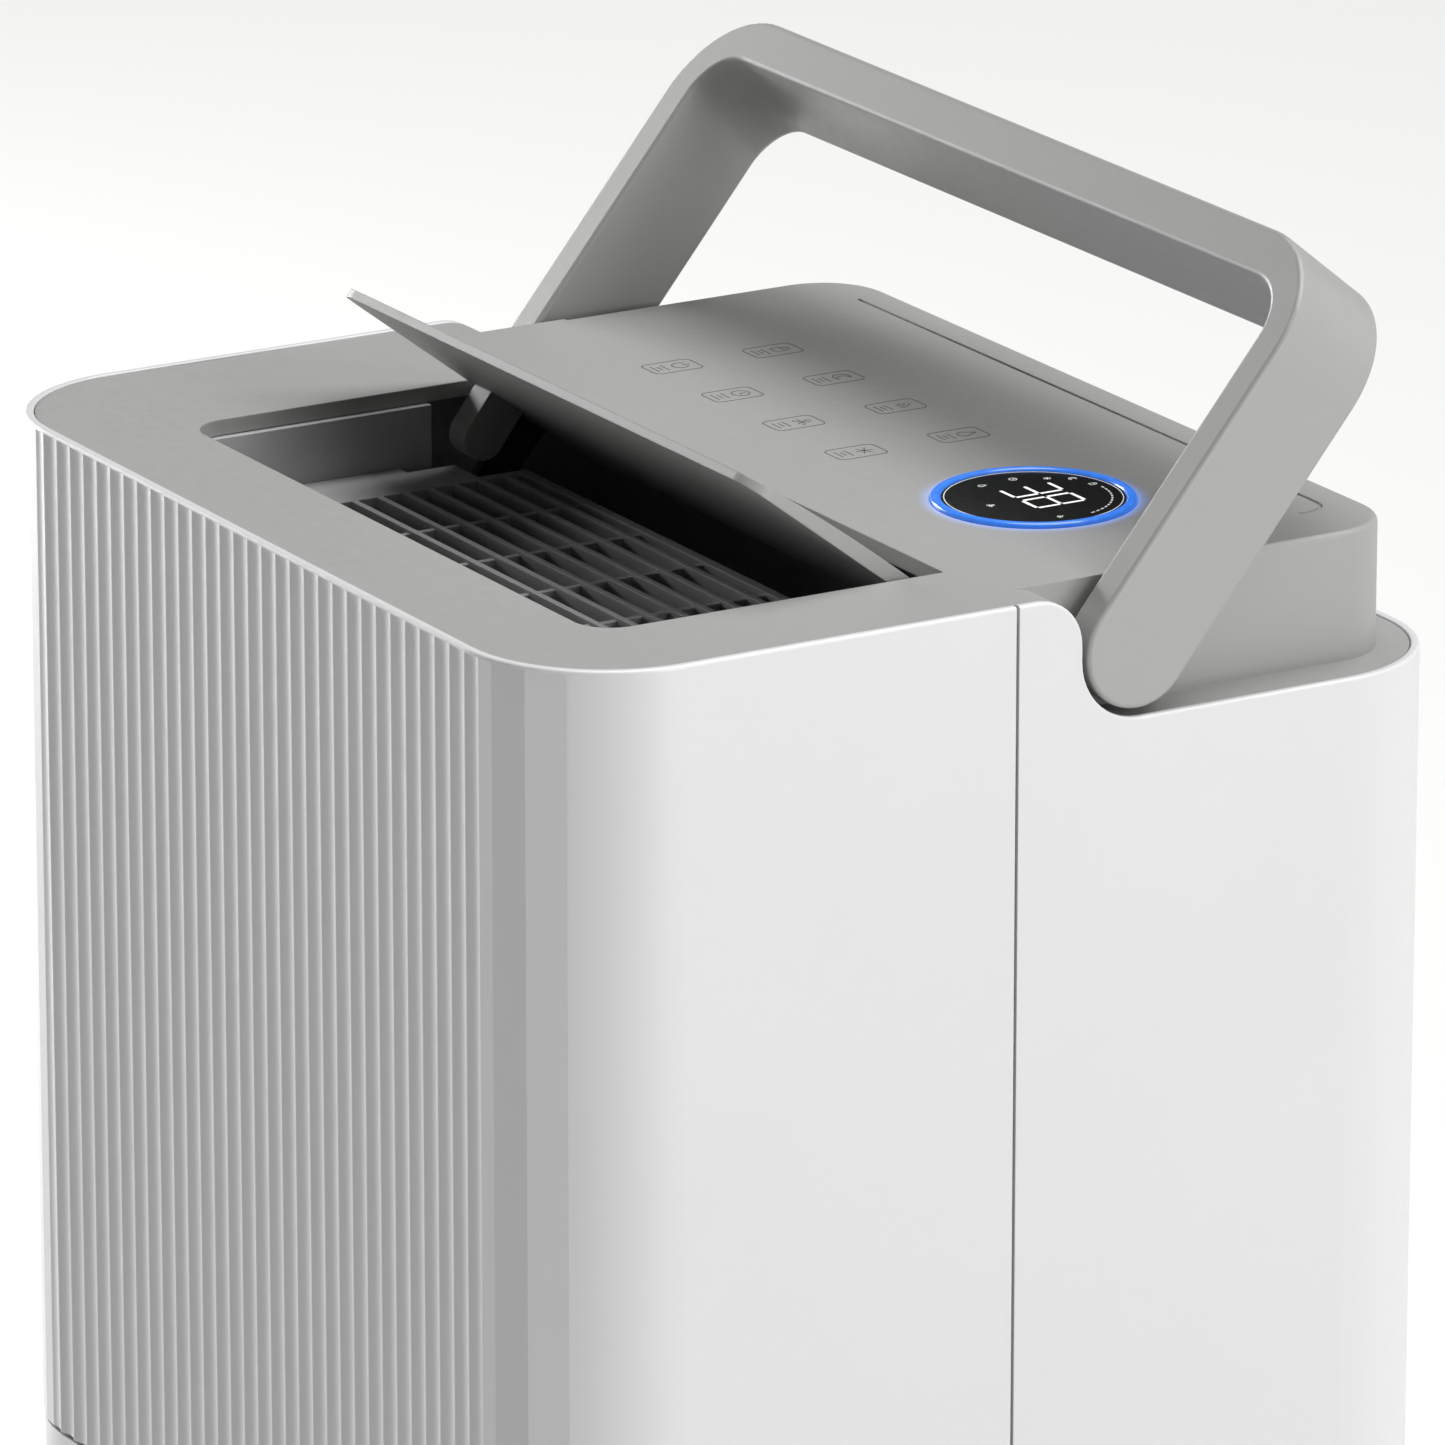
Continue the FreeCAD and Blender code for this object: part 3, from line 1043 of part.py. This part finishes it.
def make_inlet():
    front, back = "body_depth / 2 - 5", "body_depth / 2 - 0.5"
    half, foot, top = "inlet_half - 0.5", "inlet_foot + 0.5", "inlet_top - 0.5"
    border = 7

    def frame(low_y, high_y, edge):
        outer = block((f"-({half})", low_y, foot), (half, high_y, top))
        inner = block((f"-({half}) + {edge}", f"{low_y} - 1", f"{foot} + {edge}"),
                      (f"{half} - {edge}", f"{high_y} + 1", f"{top} - {edge}"))
        return cut(outer, [inner])
    pieces = [frame(front, back, border)]
    count = int(number("slat_count"))
    for k in range(1, count):
        z = f"{foot} + {border} + {k} * ({top} - ({foot}) - {2 * border}) / {count}"
        pieces.append(block((f"-({half}) + {border - 1}", f"{front} + 0.5", f"{z} - 1.1"),
                            (f"{half} - {border - 1}", f"{back} - 0.3", f"{z} + 1.1")))
    for x in (-52, 0, 52):
        pieces.append(block((f"{x} - 1.5", front, f"{foot} + 1"), (f"{x} + 1.5", f"{back} - 1.5", f"{top} - 1")))
    keep(fuse(pieces), "rear_grille")
    filter_front = f"{front} - 8"
    edge = frame(filter_front, front, 9)
    bars = [block((f"{x} - 2", filter_front, f"{foot} + 8"), (f"{x} + 2", f"{filter_front} + 3", f"{top} - 8"))
            for x in (-52, 0, 52)]
    keep(fuse([edge] + bars), "filter_frame")
    mesh = block((f"-({half}) + 9.1", f"{filter_front} + 3.1", f"{foot} + 9.1"),
                 (f"{half} - 9.1", f"{filter_front} + 4.1", f"{top} - 9.1"))
    keep(mesh, "filter_mesh")


def make_drain():
    x, z, inner_back = "spigot_x", "spigot_z", "body_depth / 2 - wall"
    cup = rod("y", (x, f"{inner_back} - 22", z), "24", "14.9")
    hollow = rod("y", (x, f"{inner_back} - 19.5", z), "30", "12.5")
    spigot = rod("y", (x, f"{inner_back} - 20", z), "19", "spigot_radius")
    tail = rod("y", (x, f"{inner_back} - 40", z), "20", "spigot_radius - 1")
    bore = rod("y", (x, f"{inner_back} - 41", z), "50", "4.5")
    keep(cut(fuse([cut(cup, [hollow]), spigot, tail]), [bore]), "drain_spigot")
    shank = rod("y", (x, f"{inner_back} - 12", z), "11.05", "4.45")
    knob = rod("y", (x, f"{inner_back} - 0.95", z), "3", "6.8")
    keep(fuse([shank, knob]), "drain_cap")


make_front_cover()
make_rear_cover()
make_rear_screws()
make_top_deck()
make_base_tray()
make_feet()
make_shelf()
make_bay_wall()
make_handle()
make_handle_pins()
make_flap()
make_flap_arms()
make_flap_drive()
make_duct()
make_grille()
make_display()
make_touch_board()
make_fan_housing()
make_impeller()
make_fan_motor()
make_coil("evaporator", "evaporator_y")
make_coil("condenser", "condenser_y")
make_compressor()
make_pipes()
make_drip_tray()
make_electrics()
make_tank()
make_tank_lid()
make_tank_front()
make_float()
make_inlet()
make_drain()
doc.recompute()

# ---------------------------------------------------------------- checks and files

for thing in doc.Objects:
    if "Invalid" in thing.State or "Error" in thing.State:
        raise RuntimeError(f"{thing.Label} failed: {thing.State}")
os.makedirs("parts", exist_ok=True)
for piece in subparts:
    if piece.Shape.isNull() or not piece.Shape.isValid() or not piece.Shape.Solids:
        raise RuntimeError(f"{piece.Label} has no valid solid")
    piece.Shape.exportStep(f"parts/{piece.Label}.step")
    print(f"{piece.Label}: {len(piece.Shape.Solids)} solid(s), {piece.Shape.Volume / 1000:.1f} cm3")
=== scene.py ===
import json
from math import cos, pi, radians, sin

import bpy
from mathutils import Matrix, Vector


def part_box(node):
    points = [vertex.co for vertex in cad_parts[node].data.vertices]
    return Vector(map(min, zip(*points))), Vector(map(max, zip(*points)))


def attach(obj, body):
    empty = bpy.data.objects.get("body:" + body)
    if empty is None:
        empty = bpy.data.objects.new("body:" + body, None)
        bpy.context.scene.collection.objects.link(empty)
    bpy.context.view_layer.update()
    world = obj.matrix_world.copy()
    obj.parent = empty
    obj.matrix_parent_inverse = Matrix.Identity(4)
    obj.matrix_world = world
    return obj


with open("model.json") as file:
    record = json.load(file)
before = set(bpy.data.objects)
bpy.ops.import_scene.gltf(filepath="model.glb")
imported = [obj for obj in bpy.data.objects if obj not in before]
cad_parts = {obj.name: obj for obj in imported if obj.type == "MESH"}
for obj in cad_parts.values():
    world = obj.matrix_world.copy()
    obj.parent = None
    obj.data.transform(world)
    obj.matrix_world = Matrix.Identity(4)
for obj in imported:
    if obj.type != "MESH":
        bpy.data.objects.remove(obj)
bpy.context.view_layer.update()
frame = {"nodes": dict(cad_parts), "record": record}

NODES = frame["nodes"]
HOUSING = "housing"
MM = 0.001


# ---------------------------------------------------------------- places, read from the frame

def middle(node):
    low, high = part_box(node)
    return (low + high) / 2


DISPLAY = middle("display_window")
DISPLAY_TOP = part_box("display_window")[1].z
RING_RADIUS = (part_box("display_ring")[1].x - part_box("display_ring")[0].x) / 2
DECK_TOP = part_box("top_deck")[1].z
RIM_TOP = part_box("front_cover")[1].z
KEY_PITCH = 33.1 * MM
KEY_LEFT = -86.1 * MM
KEY_ROWS = (37.5 * MM, 70.3 * MM)
KEYS_IN_ROW = 4
MARK_THICKNESS = 0.06 * MM
HALO_REACH = 4.5 * MM
NET_PITCH = 1.4 * MM


# ---------------------------------------------------------------- node helpers

class Shader:
    """A principled material with a few shortcuts for its procedural parts."""

    def __init__(self, name, color, roughness, metallic=0.0):
        self.material = bpy.data.materials.new(name)
        self.material.use_nodes = True
        self.nodes = self.material.node_tree.nodes
        self.links = self.material.node_tree.links
        self.surface = self.nodes["Principled BSDF"]
        self.surface.inputs["Metallic"].default_value = metallic
        self.surface.inputs["Roughness"].default_value = roughness
        self.surface.inputs["Base Color"].default_value = (*color, 1)
        self.color = color
        self.place = self.nodes.new("ShaderNodeTexCoord").outputs["Object"]

    def noise(self, size, detail=2.0):
        """Noise whose patches are about size metres across."""
        node = self.nodes.new("ShaderNodeTexNoise")
        node.inputs["Scale"].default_value = 1 / size
        node.inputs["Detail"].default_value = detail
        self.links.new(self.place, node.inputs["Vector"])
        return node.outputs["Fac"]

    def spread(self, value, low, high, start=0.3, end=0.7):
        """A value from start to end, stretched to low to high."""
        node = self.nodes.new("ShaderNodeMapRange")
        for name, number in (("From Min", start), ("From Max", end), ("To Min", low), ("To Max", high)):
            node.inputs[name].default_value = number
        self.links.new(value, node.inputs["Value"])
        return node.outputs["Result"]

    def tint(self, value, dark, light):
        """The base colour drifts between two shades of itself."""
        node = self.nodes.new("ShaderNodeMix")
        node.data_type = "RGBA"
        node.inputs["A"].default_value = (*[c * dark for c in self.color], 1)
        node.inputs["B"].default_value = (*[c * light for c in self.color], 1)
        self.links.new(value, node.inputs["Factor"])
        self.links.new(node.outputs["Result"], self.surface.inputs["Base Color"])

    def rough(self, value, low, high):
        self.links.new(self.spread(value, low, high), self.surface.inputs["Roughness"])

    def bump(self, height, depth, edge=0.0):
        """Fine relief depth metres deep, over edges softened to a radius."""
        node = self.nodes.new("ShaderNodeBump")
        node.inputs["Distance"].default_value = depth
        self.links.new(height, node.inputs["Height"])
        if edge:
            self.links.new(self.soft_edge(edge), node.inputs["Normal"])
        self.links.new(node.outputs["Normal"], self.surface.inputs["Normal"])

    def soft_edge(self, radius):
        node = self.nodes.new("ShaderNodeBevel")
        node.samples = 6
        node.inputs["Radius"].default_value = radius
        return node.outputs["Normal"]

    def math(self, operation, first, second):
        node = self.nodes.new("ShaderNodeMath")
        node.operation = operation
        for socket, value in zip(node.inputs, (first, second)):
            if isinstance(value, (int, float)):
                socket.default_value = value
            else:
                self.links.new(value, socket)
        return node.outputs["Value"]

    def axis(self, letter):
        node = self.nodes.new("ShaderNodeSeparateXYZ")
        self.links.new(self.place, node.inputs["Vector"])
        return node.outputs[letter]


# ---------------------------------------------------------------- materials

def moulded(name, color, roughness, grain, depth, edge=0.4 * MM):
    """Moulded plastic: a spark-eroded grain, faint flow patches and slightly uneven gloss."""
    shader = Shader(name, color, roughness)
    patches = shader.noise(0.09, 3)
    shader.tint(patches, 0.975, 1.02)
    shader.rough(shader.noise(0.004, 4), roughness - 0.04, roughness + 0.05)
    shader.bump(shader.noise(grain, 3), depth, edge)
    return shader


def white_shell():
    shader = moulded("white_shell", (0.62, 0.622, 0.624), 0.33, 0.9 * MM, 0.012 * MM, 0.35 * MM)
    shader.surface.inputs["Coat Weight"].default_value = 0.15
    shader.surface.inputs["Coat Roughness"].default_value = 0.2
    return shader.material


def grey_deck(name, painted_halo):
    shader = moulded(name, (0.315, 0.315, 0.309), 0.44, 0.45 * MM, 0.02 * MM, 0.5 * MM)
    if painted_halo:
        painted_ring_glow(shader)
    return shader.material


def painted_ring_glow(shader):
    """Painted glow: the deck's own blue emission round the ring, standing in for the lit ring's light
    falling on the deck.
    """
    centre = shader.nodes.new("ShaderNodeVectorMath")
    centre.operation = "SUBTRACT"
    centre.inputs[1].default_value = DISPLAY
    shader.links.new(shader.place, centre.inputs[0])
    flat = shader.nodes.new("ShaderNodeVectorMath")
    flat.operation = "MULTIPLY"
    flat.inputs[1].default_value = (1, 1, 0)
    shader.links.new(centre.outputs["Vector"], flat.inputs[0])
    reach = shader.nodes.new("ShaderNodeVectorMath")
    reach.operation = "LENGTH"
    shader.links.new(flat.outputs["Vector"], reach.inputs[0])
    fade = shader.spread(reach.outputs["Value"], 1, 0, RING_RADIUS, RING_RADIUS + HALO_REACH)
    glow = shader.math("MULTIPLY", shader.math("POWER", fade, 2.0), 0.6)
    # painted light: the deck surface itself emits blue, fading out 4.5 mm beyond the ring
    shader.surface.inputs["Emission Color"].default_value = (0.10, 0.28, 0.95, 1)
    shader.links.new(glow, shader.surface.inputs["Emission Strength"])


def dark_plastic():
    return moulded("dark_plastic", (0.40, 0.40, 0.40), 0.5, 0.5 * MM, 0.02 * MM).material


def black_plastic():
    return moulded("black_plastic", (0.04, 0.04, 0.042), 0.5, 0.5 * MM, 0.02 * MM).material


def ring_light():
    """A blue light guide, brightest along its crown."""
    shader = Shader("ring_light", (0.02, 0.09, 0.36), 0.25)
    mottle = shader.spread(shader.noise(3 * MM, 2), 0.85, 1.1)
    ring_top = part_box("display_ring")[1].z
    crown = shader.spread(shader.axis("Z"), 0.36, 0.8, DECK_TOP, ring_top)
    shader.surface.inputs["Emission Color"].default_value = (0.045, 0.22, 0.88, 1)
    shader.links.new(shader.math("MULTIPLY", mottle, crown), shader.surface.inputs["Emission Strength"])
    shader.surface.inputs["Coat Weight"].default_value = 0.3
    return shader.material


def display_black():
    shader = Shader("display_black", (0.014, 0.015, 0.014), 0.16)
    shader.surface.inputs["Specular IOR Level"].default_value = 0.25
    shader.tint(shader.noise(6 * MM, 3), 0.85, 1.2)
    shader.rough(shader.noise(2 * MM, 4), 0.12, 0.2)
    return shader.material


def display_white(name, strength):
    """Lit display segments, a little uneven from lamp to lamp."""
    shader = Shader(name, (0.5, 0.51, 0.5), 0.4)
    shader.surface.inputs["Emission Color"].default_value = (0.92, 0.94, 0.90, 1)
    glow = shader.spread(shader.noise(4 * MM, 1), 0.85 * strength, 1.1 * strength)
    shader.links.new(glow, shader.surface.inputs["Emission Strength"])
    return shader.material


def printed_grey():
    """Pad-printed ink with thin places."""
    shader = Shader("printed_grey", (0.10, 0.10, 0.10), 0.5)
    shader.tint(shader.noise(1.2 * MM, 3), 0.75, 1.5)
    return shader.material


def rubber():
    shader = Shader("rubber", (0.022, 0.022, 0.023), 0.72)
    shader.tint(shader.noise(8 * MM, 3), 0.8, 1.25)
    shader.bump(shader.noise(0.6 * MM, 4), 0.05 * MM)
    return shader.material


def metal(name, color, roughness):
    """Rolled or drawn metal with fine streaks."""
    shader = Shader(name, color, roughness, 1.0)
    streaks = shader.nodes.new("ShaderNodeTexNoise")
    stretch = shader.nodes.new("ShaderNodeVectorMath")
    stretch.operation = "MULTIPLY"
    stretch.inputs[1].default_value = (150, 2500, 2500)
    shader.links.new(shader.place, stretch.inputs[0])
    shader.links.new(stretch.outputs["Vector"], streaks.inputs["Vector"])
    streaks.inputs["Scale"].default_value = 1
    shader.tint(shader.noise(10 * MM, 3), 0.88, 1.08)
    shader.rough(streaks.outputs["Fac"], roughness - 0.08, roughness + 0.1)
    shader.bump(streaks.outputs["Fac"], 0.01 * MM)
    return shader.material


def motor_black():
    shader = Shader("motor_black", (0.02, 0.02, 0.022), 0.3)
    shader.tint(shader.noise(12 * MM, 3), 0.8, 1.3)
    shader.bump(shader.noise(2.5 * MM, 2), 0.04 * MM)
    return shader.material


def circuit_board():
    shader = Shader("circuit_board", (0.02, 0.14, 0.06), 0.35)
    shader.tint(shader.noise(2 * MM, 1), 0.7, 1.3)
    shader.bump(shader.noise(1 * MM, 1), 0.03 * MM)
    return shader.material


def smoked_tank():
    """Translucent smoky moulding."""
    shader = moulded("smoked_tank", (0.34, 0.37, 0.40), 0.22, 1.2 * MM, 0.01 * MM)
    shader.surface.inputs["Transmission Weight"].default_value = 0.55
    shader.surface.inputs["IOR"].default_value = 1.49
    return shader.material


def clear_window():
    shader = Shader("clear_window", (0.55, 0.60, 0.63), 0.08)
    shader.rough(shader.noise(3 * MM, 3), 0.05, 0.12)
    shader.surface.inputs["Transmission Weight"].default_value = 0.6
    shader.surface.inputs["IOR"].default_value = 1.49
    return shader.material


def filter_net():
    """A fine square net: threads along both directions, with the gaps between them painted dark as
    painted shade of the inside seen through the holes.
    """
    shader = Shader("filter_net", (0.05, 0.05, 0.055), 0.8)
    threads = []
    for letter in ("X", "Z"):
        wave = shader.math("SINE", shader.math("MULTIPLY", shader.axis(letter), 2 * pi / NET_PITCH), 0)
        threads.append(wave)
    weave = shader.math("MAXIMUM", threads[0], threads[1])
    # painted shade in the gaps: they are darkened to a quarter of the base colour, while the threads are
    # lightened
    shader.tint(shader.spread(weave, 0, 1, 0.2, 0.9), 0.25, 2.2)
    shader.bump(weave, 0.15 * MM)
    return shader.material


def floor_material():
    """Pale sweep that also glows a little, as if lit evenly from far off."""
    shader = Shader("floor", (0.44, 0.44, 0.435), 0.8)
    shader.tint(shader.noise(0.8, 2), 0.99, 1.01)
    shader.surface.inputs["Emission Color"].default_value = (1, 1, 0.99, 1)
    shader.surface.inputs["Emission Strength"].default_value = 0.30
    return shader.material


def dress_cad():
    """Gives each CAD node the material of its slot, and smooths its rounded faces."""
    finishes = {
        "white_shell": white_shell(),
        "grey_deck": grey_deck("grey_plastic", painted_halo=False),
        "dark_plastic": dark_plastic(),
        "black_plastic": black_plastic(),
        "ring_light": ring_light(),
        "display_black": display_black(),
        "rubber": rubber(),
        "fin_aluminium": metal("fin_aluminium", (0.80, 0.81, 0.82), 0.3),
        "copper": metal("copper", (0.85, 0.45, 0.28), 0.28),
        "steel": metal("steel", (0.56, 0.57, 0.58), 0.32),
        "motor_black": motor_black(),
        "circuit_board": circuit_board(),
        "smoked_tank": smoked_tank(),
        "clear_window": clear_window(),
        "filter_net": filter_net(),
    }
    slots = {part["node"]: part["material_slot"] for part in frame["record"]["subparts"]}
    for name, node in NODES.items():
        node.data.materials.clear()
        node.data.materials.append(finishes[slots[name]])
        crease = radians(12) if name == "front_cover" else radians(28)
        node.data.shade_smooth()
        node.data.set_sharp_from_angle(angle=crease)
    # the top deck alone gets the painted blue glow round the display ring
    NODES["top_deck"].data.materials[0] = grey_deck("grey_deck", painted_halo=True)


# ---------------------------------------------------------------- flat drawn marks

def arc(centre, radius, start, end, steps=24):
    """Points round a circle, angles in degrees from +X."""
    turns = [radians(start + (end - start) * k / steps) for k in range(steps + 1)]
    return [(centre[0] + radius * cos(a), centre[1] + radius * sin(a)) for a in turns]


def ribbon(points, width, closed=False):
    """Vertices and faces of a thin closed strip one unit high that follows the points."""
    count = len(points)
    sides = []
    for k, point in enumerate(points):
        before = points[k - 1] if k or closed else point
        after = points[(k + 1) % count] if k + 1 < count or closed else point
        along = (Vector(after) - Vector(before)).normalized()
        across = Vector((-along.y, along.x)) * width / 2
        sides.append((Vector(point) - across, Vector(point) + across))
    verts = [(*side, level) for pair in sides for side in pair for level in (0, 1)]
    faces = []
    spans = count if closed else count - 1
    for k in range(spans):
        a, b = 4 * k, 4 * ((k + 1) % count)
        faces += [(a + 1, b + 1, b + 3, a + 3), (a, a + 2, b + 2, b), (a, b, b + 1, a + 1),
                  (a + 2, a + 3, b + 3, b + 2)]
    if not closed:
        last = 4 * (count - 1)
        faces += [(0, 1, 3, 2), (last, last + 2, last + 3, last + 1)]
    return verts, faces


def marks(name, strokes, level, material):
    """One flat piece made of many strokes; each stroke is (points, width, closed)."""
    verts, faces = [], []
    for points, width, closed in strokes:
        new_verts, new_faces = ribbon(points, width, closed)
        base = len(verts)
        verts += [(x, y, level + z * MARK_THICKNESS) for x, y, z in new_verts]
        faces += [tuple(base + i for i in face) for face in new_faces]
    mesh = bpy.data.meshes.new(name)
    mesh.from_pydata(verts, [], faces)
    mesh.materials.append(material)
    piece = bpy.data.objects.new(name, mesh)
    bpy.context.scene.collection.objects.link(piece)
    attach(piece, HOUSING)
    return piece


def scaled(strokes, centre, size):
    """Strokes drawn about the origin, moved to a centre and scaled."""
    return [([(centre[0] + x * size, centre[1] + y * size) for x, y in points], width, closed)
            for points, width, closed in strokes]


# Pictograms drawn in a square from -1 to 1. Each is a list of (points, closed).

def power_sign():
    return [(arc((0, 0), 0.8, 125, 415), False), ([(0, 0.2), (0, 1)], False)]


def drop_sign():
    return [([(0, 1)] + arc((0, -0.3), 0.62, 160, 380) + [(0, 1)], False)]


def fan_sign():
    petals = []
    for turn in (90, 210, 330):
        tip = (0.85 * cos(radians(turn)), 0.85 * sin(radians(turn)))
        hub = (0.4 * cos(radians(turn)), 0.4 * sin(radians(turn)))
        petals.append((arc(((tip[0] + hub[0]) / 2, (tip[1] + hub[1]) / 2), 0.3, turn, turn + 300), False))
    return petals + [(arc((0, 0), 0.14, 0, 360), False)]


def clock_sign():
    return [(arc((0, 0), 0.85, 0, 360), False), ([(0, 0.55), (0, 0), (0.4, -0.2)], False)]


def moon_sign():
    return [(arc((0, 0), 0.85, 50, 310) + arc((0.42, 0), 0.66, 290, 70), False)]


def frost_sign():
    lines = []
    for turn in (30, 90, 150):
        tip = (0.9 * cos(radians(turn)), 0.9 * sin(radians(turn)))
        lines.append(([(-tip[0], -tip[1]), tip], False))
    return lines


def lock_sign():
    body = [(-0.65, -0.85), (0.65, -0.85), (0.65, 0.1), (-0.65, 0.1), (-0.65, -0.85)]
    return [(body, False), ([(-0.4, 0.1)] + arc((0, 0.45), 0.4, 180, 0) + [(0.4, 0.1)], False)]


def swing_sign():
    return [(arc((-1, -0.8), reach, 5, 65), False) for reach in (0.8, 1.25, 1.7)]


SIGNS = (power_sign, clock_sign, fan_sign, frost_sign, lock_sign, moon_sign, swing_sign, drop_sign)


def make_keys(ink):
    """Eight touch keys: a rounded outline, a pictogram and three short bars each."""
    half_x, half_y, corner = 5.1 * MM, 7.7 * MM, 2 * MM
    line = 0.42 * MM
    strokes = []
    signs = iter(SIGNS)
    for y in KEY_ROWS:
        for k in range(KEYS_IN_ROW):
            centre = (KEY_LEFT + k * KEY_PITCH, y)
            outline = []
            for sx, sy, start in ((1, -1, -90), (1, 1, 0), (-1, 1, 90), (-1, -1, 180)):
                pivot = (centre[0] + sx * (half_x - corner), centre[1] + sy * (half_y - corner))
                outline += arc(pivot, corner, start, start + 90, 8)
            strokes.append((outline, line, True))
            sign = [(points, line, closed) for points, closed in next(signs)()]
            strokes += scaled(sign, (centre[0], centre[1] + 2.6 * MM), 3.0 * MM)
            for level, half in ((-2.4, 2.6), (-4.0, 1.7), (-5.6, 2.6)):
                bar_y = centre[1] + level * MM
                bar = [(centre[0] - half * MM, bar_y), (centre[0] + half * MM, bar_y)]
                strokes.append((bar, line, False))
    marks("key_symbols", strokes, DECK_TOP - 0.02 * MM, ink)


def digit(segments, left, foot):
    """Bars of a seven-segment digit, named by the usual letters a to g."""
    wide, tall, gap = 7.9 * MM, 15.2 * MM, 0.5 * MM
    half = tall / 2
    places = {
        "a": ((gap, tall), (wide - gap, tall)), "g": ((gap, half), (wide - gap, half)),
        "d": ((gap, 0), (wide - gap, 0)), "f": ((0, half + gap), (0, tall - gap)),
        "b": ((wide, half + gap), (wide, tall - gap)), "e": ((0, gap), (0, half - gap)),
        "c": ((wide, gap), (wide, half - gap)),
    }
    bars = []
    for letter in segments:
        ends = [(left + x, foot + y) for x, y in places[letter]]
        bars.append((ends, 0.95 * MM, False))
    return bars


def make_display_graphics(bright, dim):
    """The number, the thin circle, the level arc and small status signs."""
    x, y, level = DISPLAY.x, DISPLAY.y, DISPLAY_TOP - 0.01 * MM
    foot = y - 4.6 * MM
    number = digit("abgcd", x - 9.9 * MM, foot) + digit("abcdefg", x + 1.4 * MM, foot)
    marks("display_number", number, level, bright)
    strokes = [(arc((x, y), 24.2 * MM, 0, 360, 96)[:-1], 0.28 * MM, True)]
    for k in range(13):
        start = 88 - k * 5.8
        strokes.append((arc((x, y), 21.2 * MM, start, start - 3.4, 4), 0.5 * MM, False))
    small = ((-16.2, -6.2, drop_sign), (1.0, -14.2, fan_sign), (-17.3, 4.2, clock_sign),
             (-13.2, 12.6, frost_sign),
             (-9.6, 18.4, moon_sign), (-2.6, 20.6, lock_sign), (19.2, -3.6, swing_sign))
    for dx, dy, sign in small:
        drawn = [(points, 0.3 * MM, closed) for points, closed in sign()]
        strokes += scaled(drawn, (x + dx * MM, y + dy * MM), 1.25 * MM)
    marks("display_marks", strokes, level, dim)


# ---------------------------------------------------------------- stage

def make_stage():
    bpy.ops.mesh.primitive_plane_add(size=40, location=(0, 0, 0))
    floor = bpy.context.object
    floor.name = "floor"
    floor.data.materials.append(floor_material())
    world = bpy.data.worlds.new("studio")
    world.use_nodes = True
    nodes, links = world.node_tree.nodes, world.node_tree.links
    nodes["Background"].inputs["Color"].default_value = (1, 1, 0.99, 1)
    # pale where the camera sees it, and nearly dark as a light, so that the boxes shape the object
    path = nodes.new("ShaderNodeLightPath")
    seen = nodes.new("ShaderNodeMapRange")
    seen.inputs["To Min"].default_value = 0.02
    seen.inputs["To Max"].default_value = 0.92
    links.new(path.outputs["Is Camera Ray"], seen.inputs["Value"])
    links.new(seen.outputs["Result"], nodes["Background"].inputs["Strength"])
    bpy.context.scene.world = world


def softbox(name, direction, distance, width, height, power, target=(0, 0, 0.35)):
    lamp = bpy.data.lights.new(name, "AREA")
    lamp.shape = "RECTANGLE"
    lamp.size = width
    lamp.size_y = height
    lamp.energy = power
    box = bpy.data.objects.new(name, lamp)
    bpy.context.scene.collection.objects.link(box)
    box.location = Vector(target) + Vector(direction).normalized() * distance
    box.rotation_euler = (Vector(target) - box.location).to_track_quat("-Z", "Y").to_euler()


def sun(name, direction, strength, spread):
    """Even light from one side, softened as if it came from a wide source."""
    lamp = bpy.data.lights.new(name, "SUN")
    lamp.energy = strength
    lamp.angle = radians(spread)
    light = bpy.data.objects.new(name, lamp)
    bpy.context.scene.collection.objects.link(light)
    light.rotation_euler = Vector(direction).to_track_quat("Z", "Y").to_euler()


def make_lights():
    """Even light from above, a box grazing the front from the left, one right of the side, one behind."""
    sun("top_light", (0.02, 0.24, 1), 3.5, 50)
    softbox("left_light", (-0.965, -0.26, 0.06), 2.4, 1.0, 1.6, 74)
    softbox("right_light", (0.94, 0.26, 0.20), 2.4, 0.8, 1.6, 31)
    softbox("back_light", (0.45, 0.48, 0.78), 2.2, 0.5, 0.5, 9)


def make_camera():
    """Looks down on the front right corner, close in on the upper part."""
    camera_data = bpy.data.cameras.new("camera")
    camera_data.sensor_width = 36
    camera_data.lens = 291.8
    camera_data.clip_end = 100
    camera = bpy.data.objects.new("camera", camera_data)
    bpy.context.scene.collection.objects.link(camera)
    camera.location = (2.6353, -1.5543, RIM_TOP + 0.8910)
    camera.rotation_euler = (radians(90 - 17.53), 0, radians(59.42))
    bpy.context.scene.camera = camera


make_camera()
make_stage()
make_lights()
dress_cad()
make_keys(printed_grey())
make_display_graphics(display_white("display_bright", 0.9), display_white("display_dim", 0.35))
bpy.context.scene.view_settings.view_transform = "Standard"
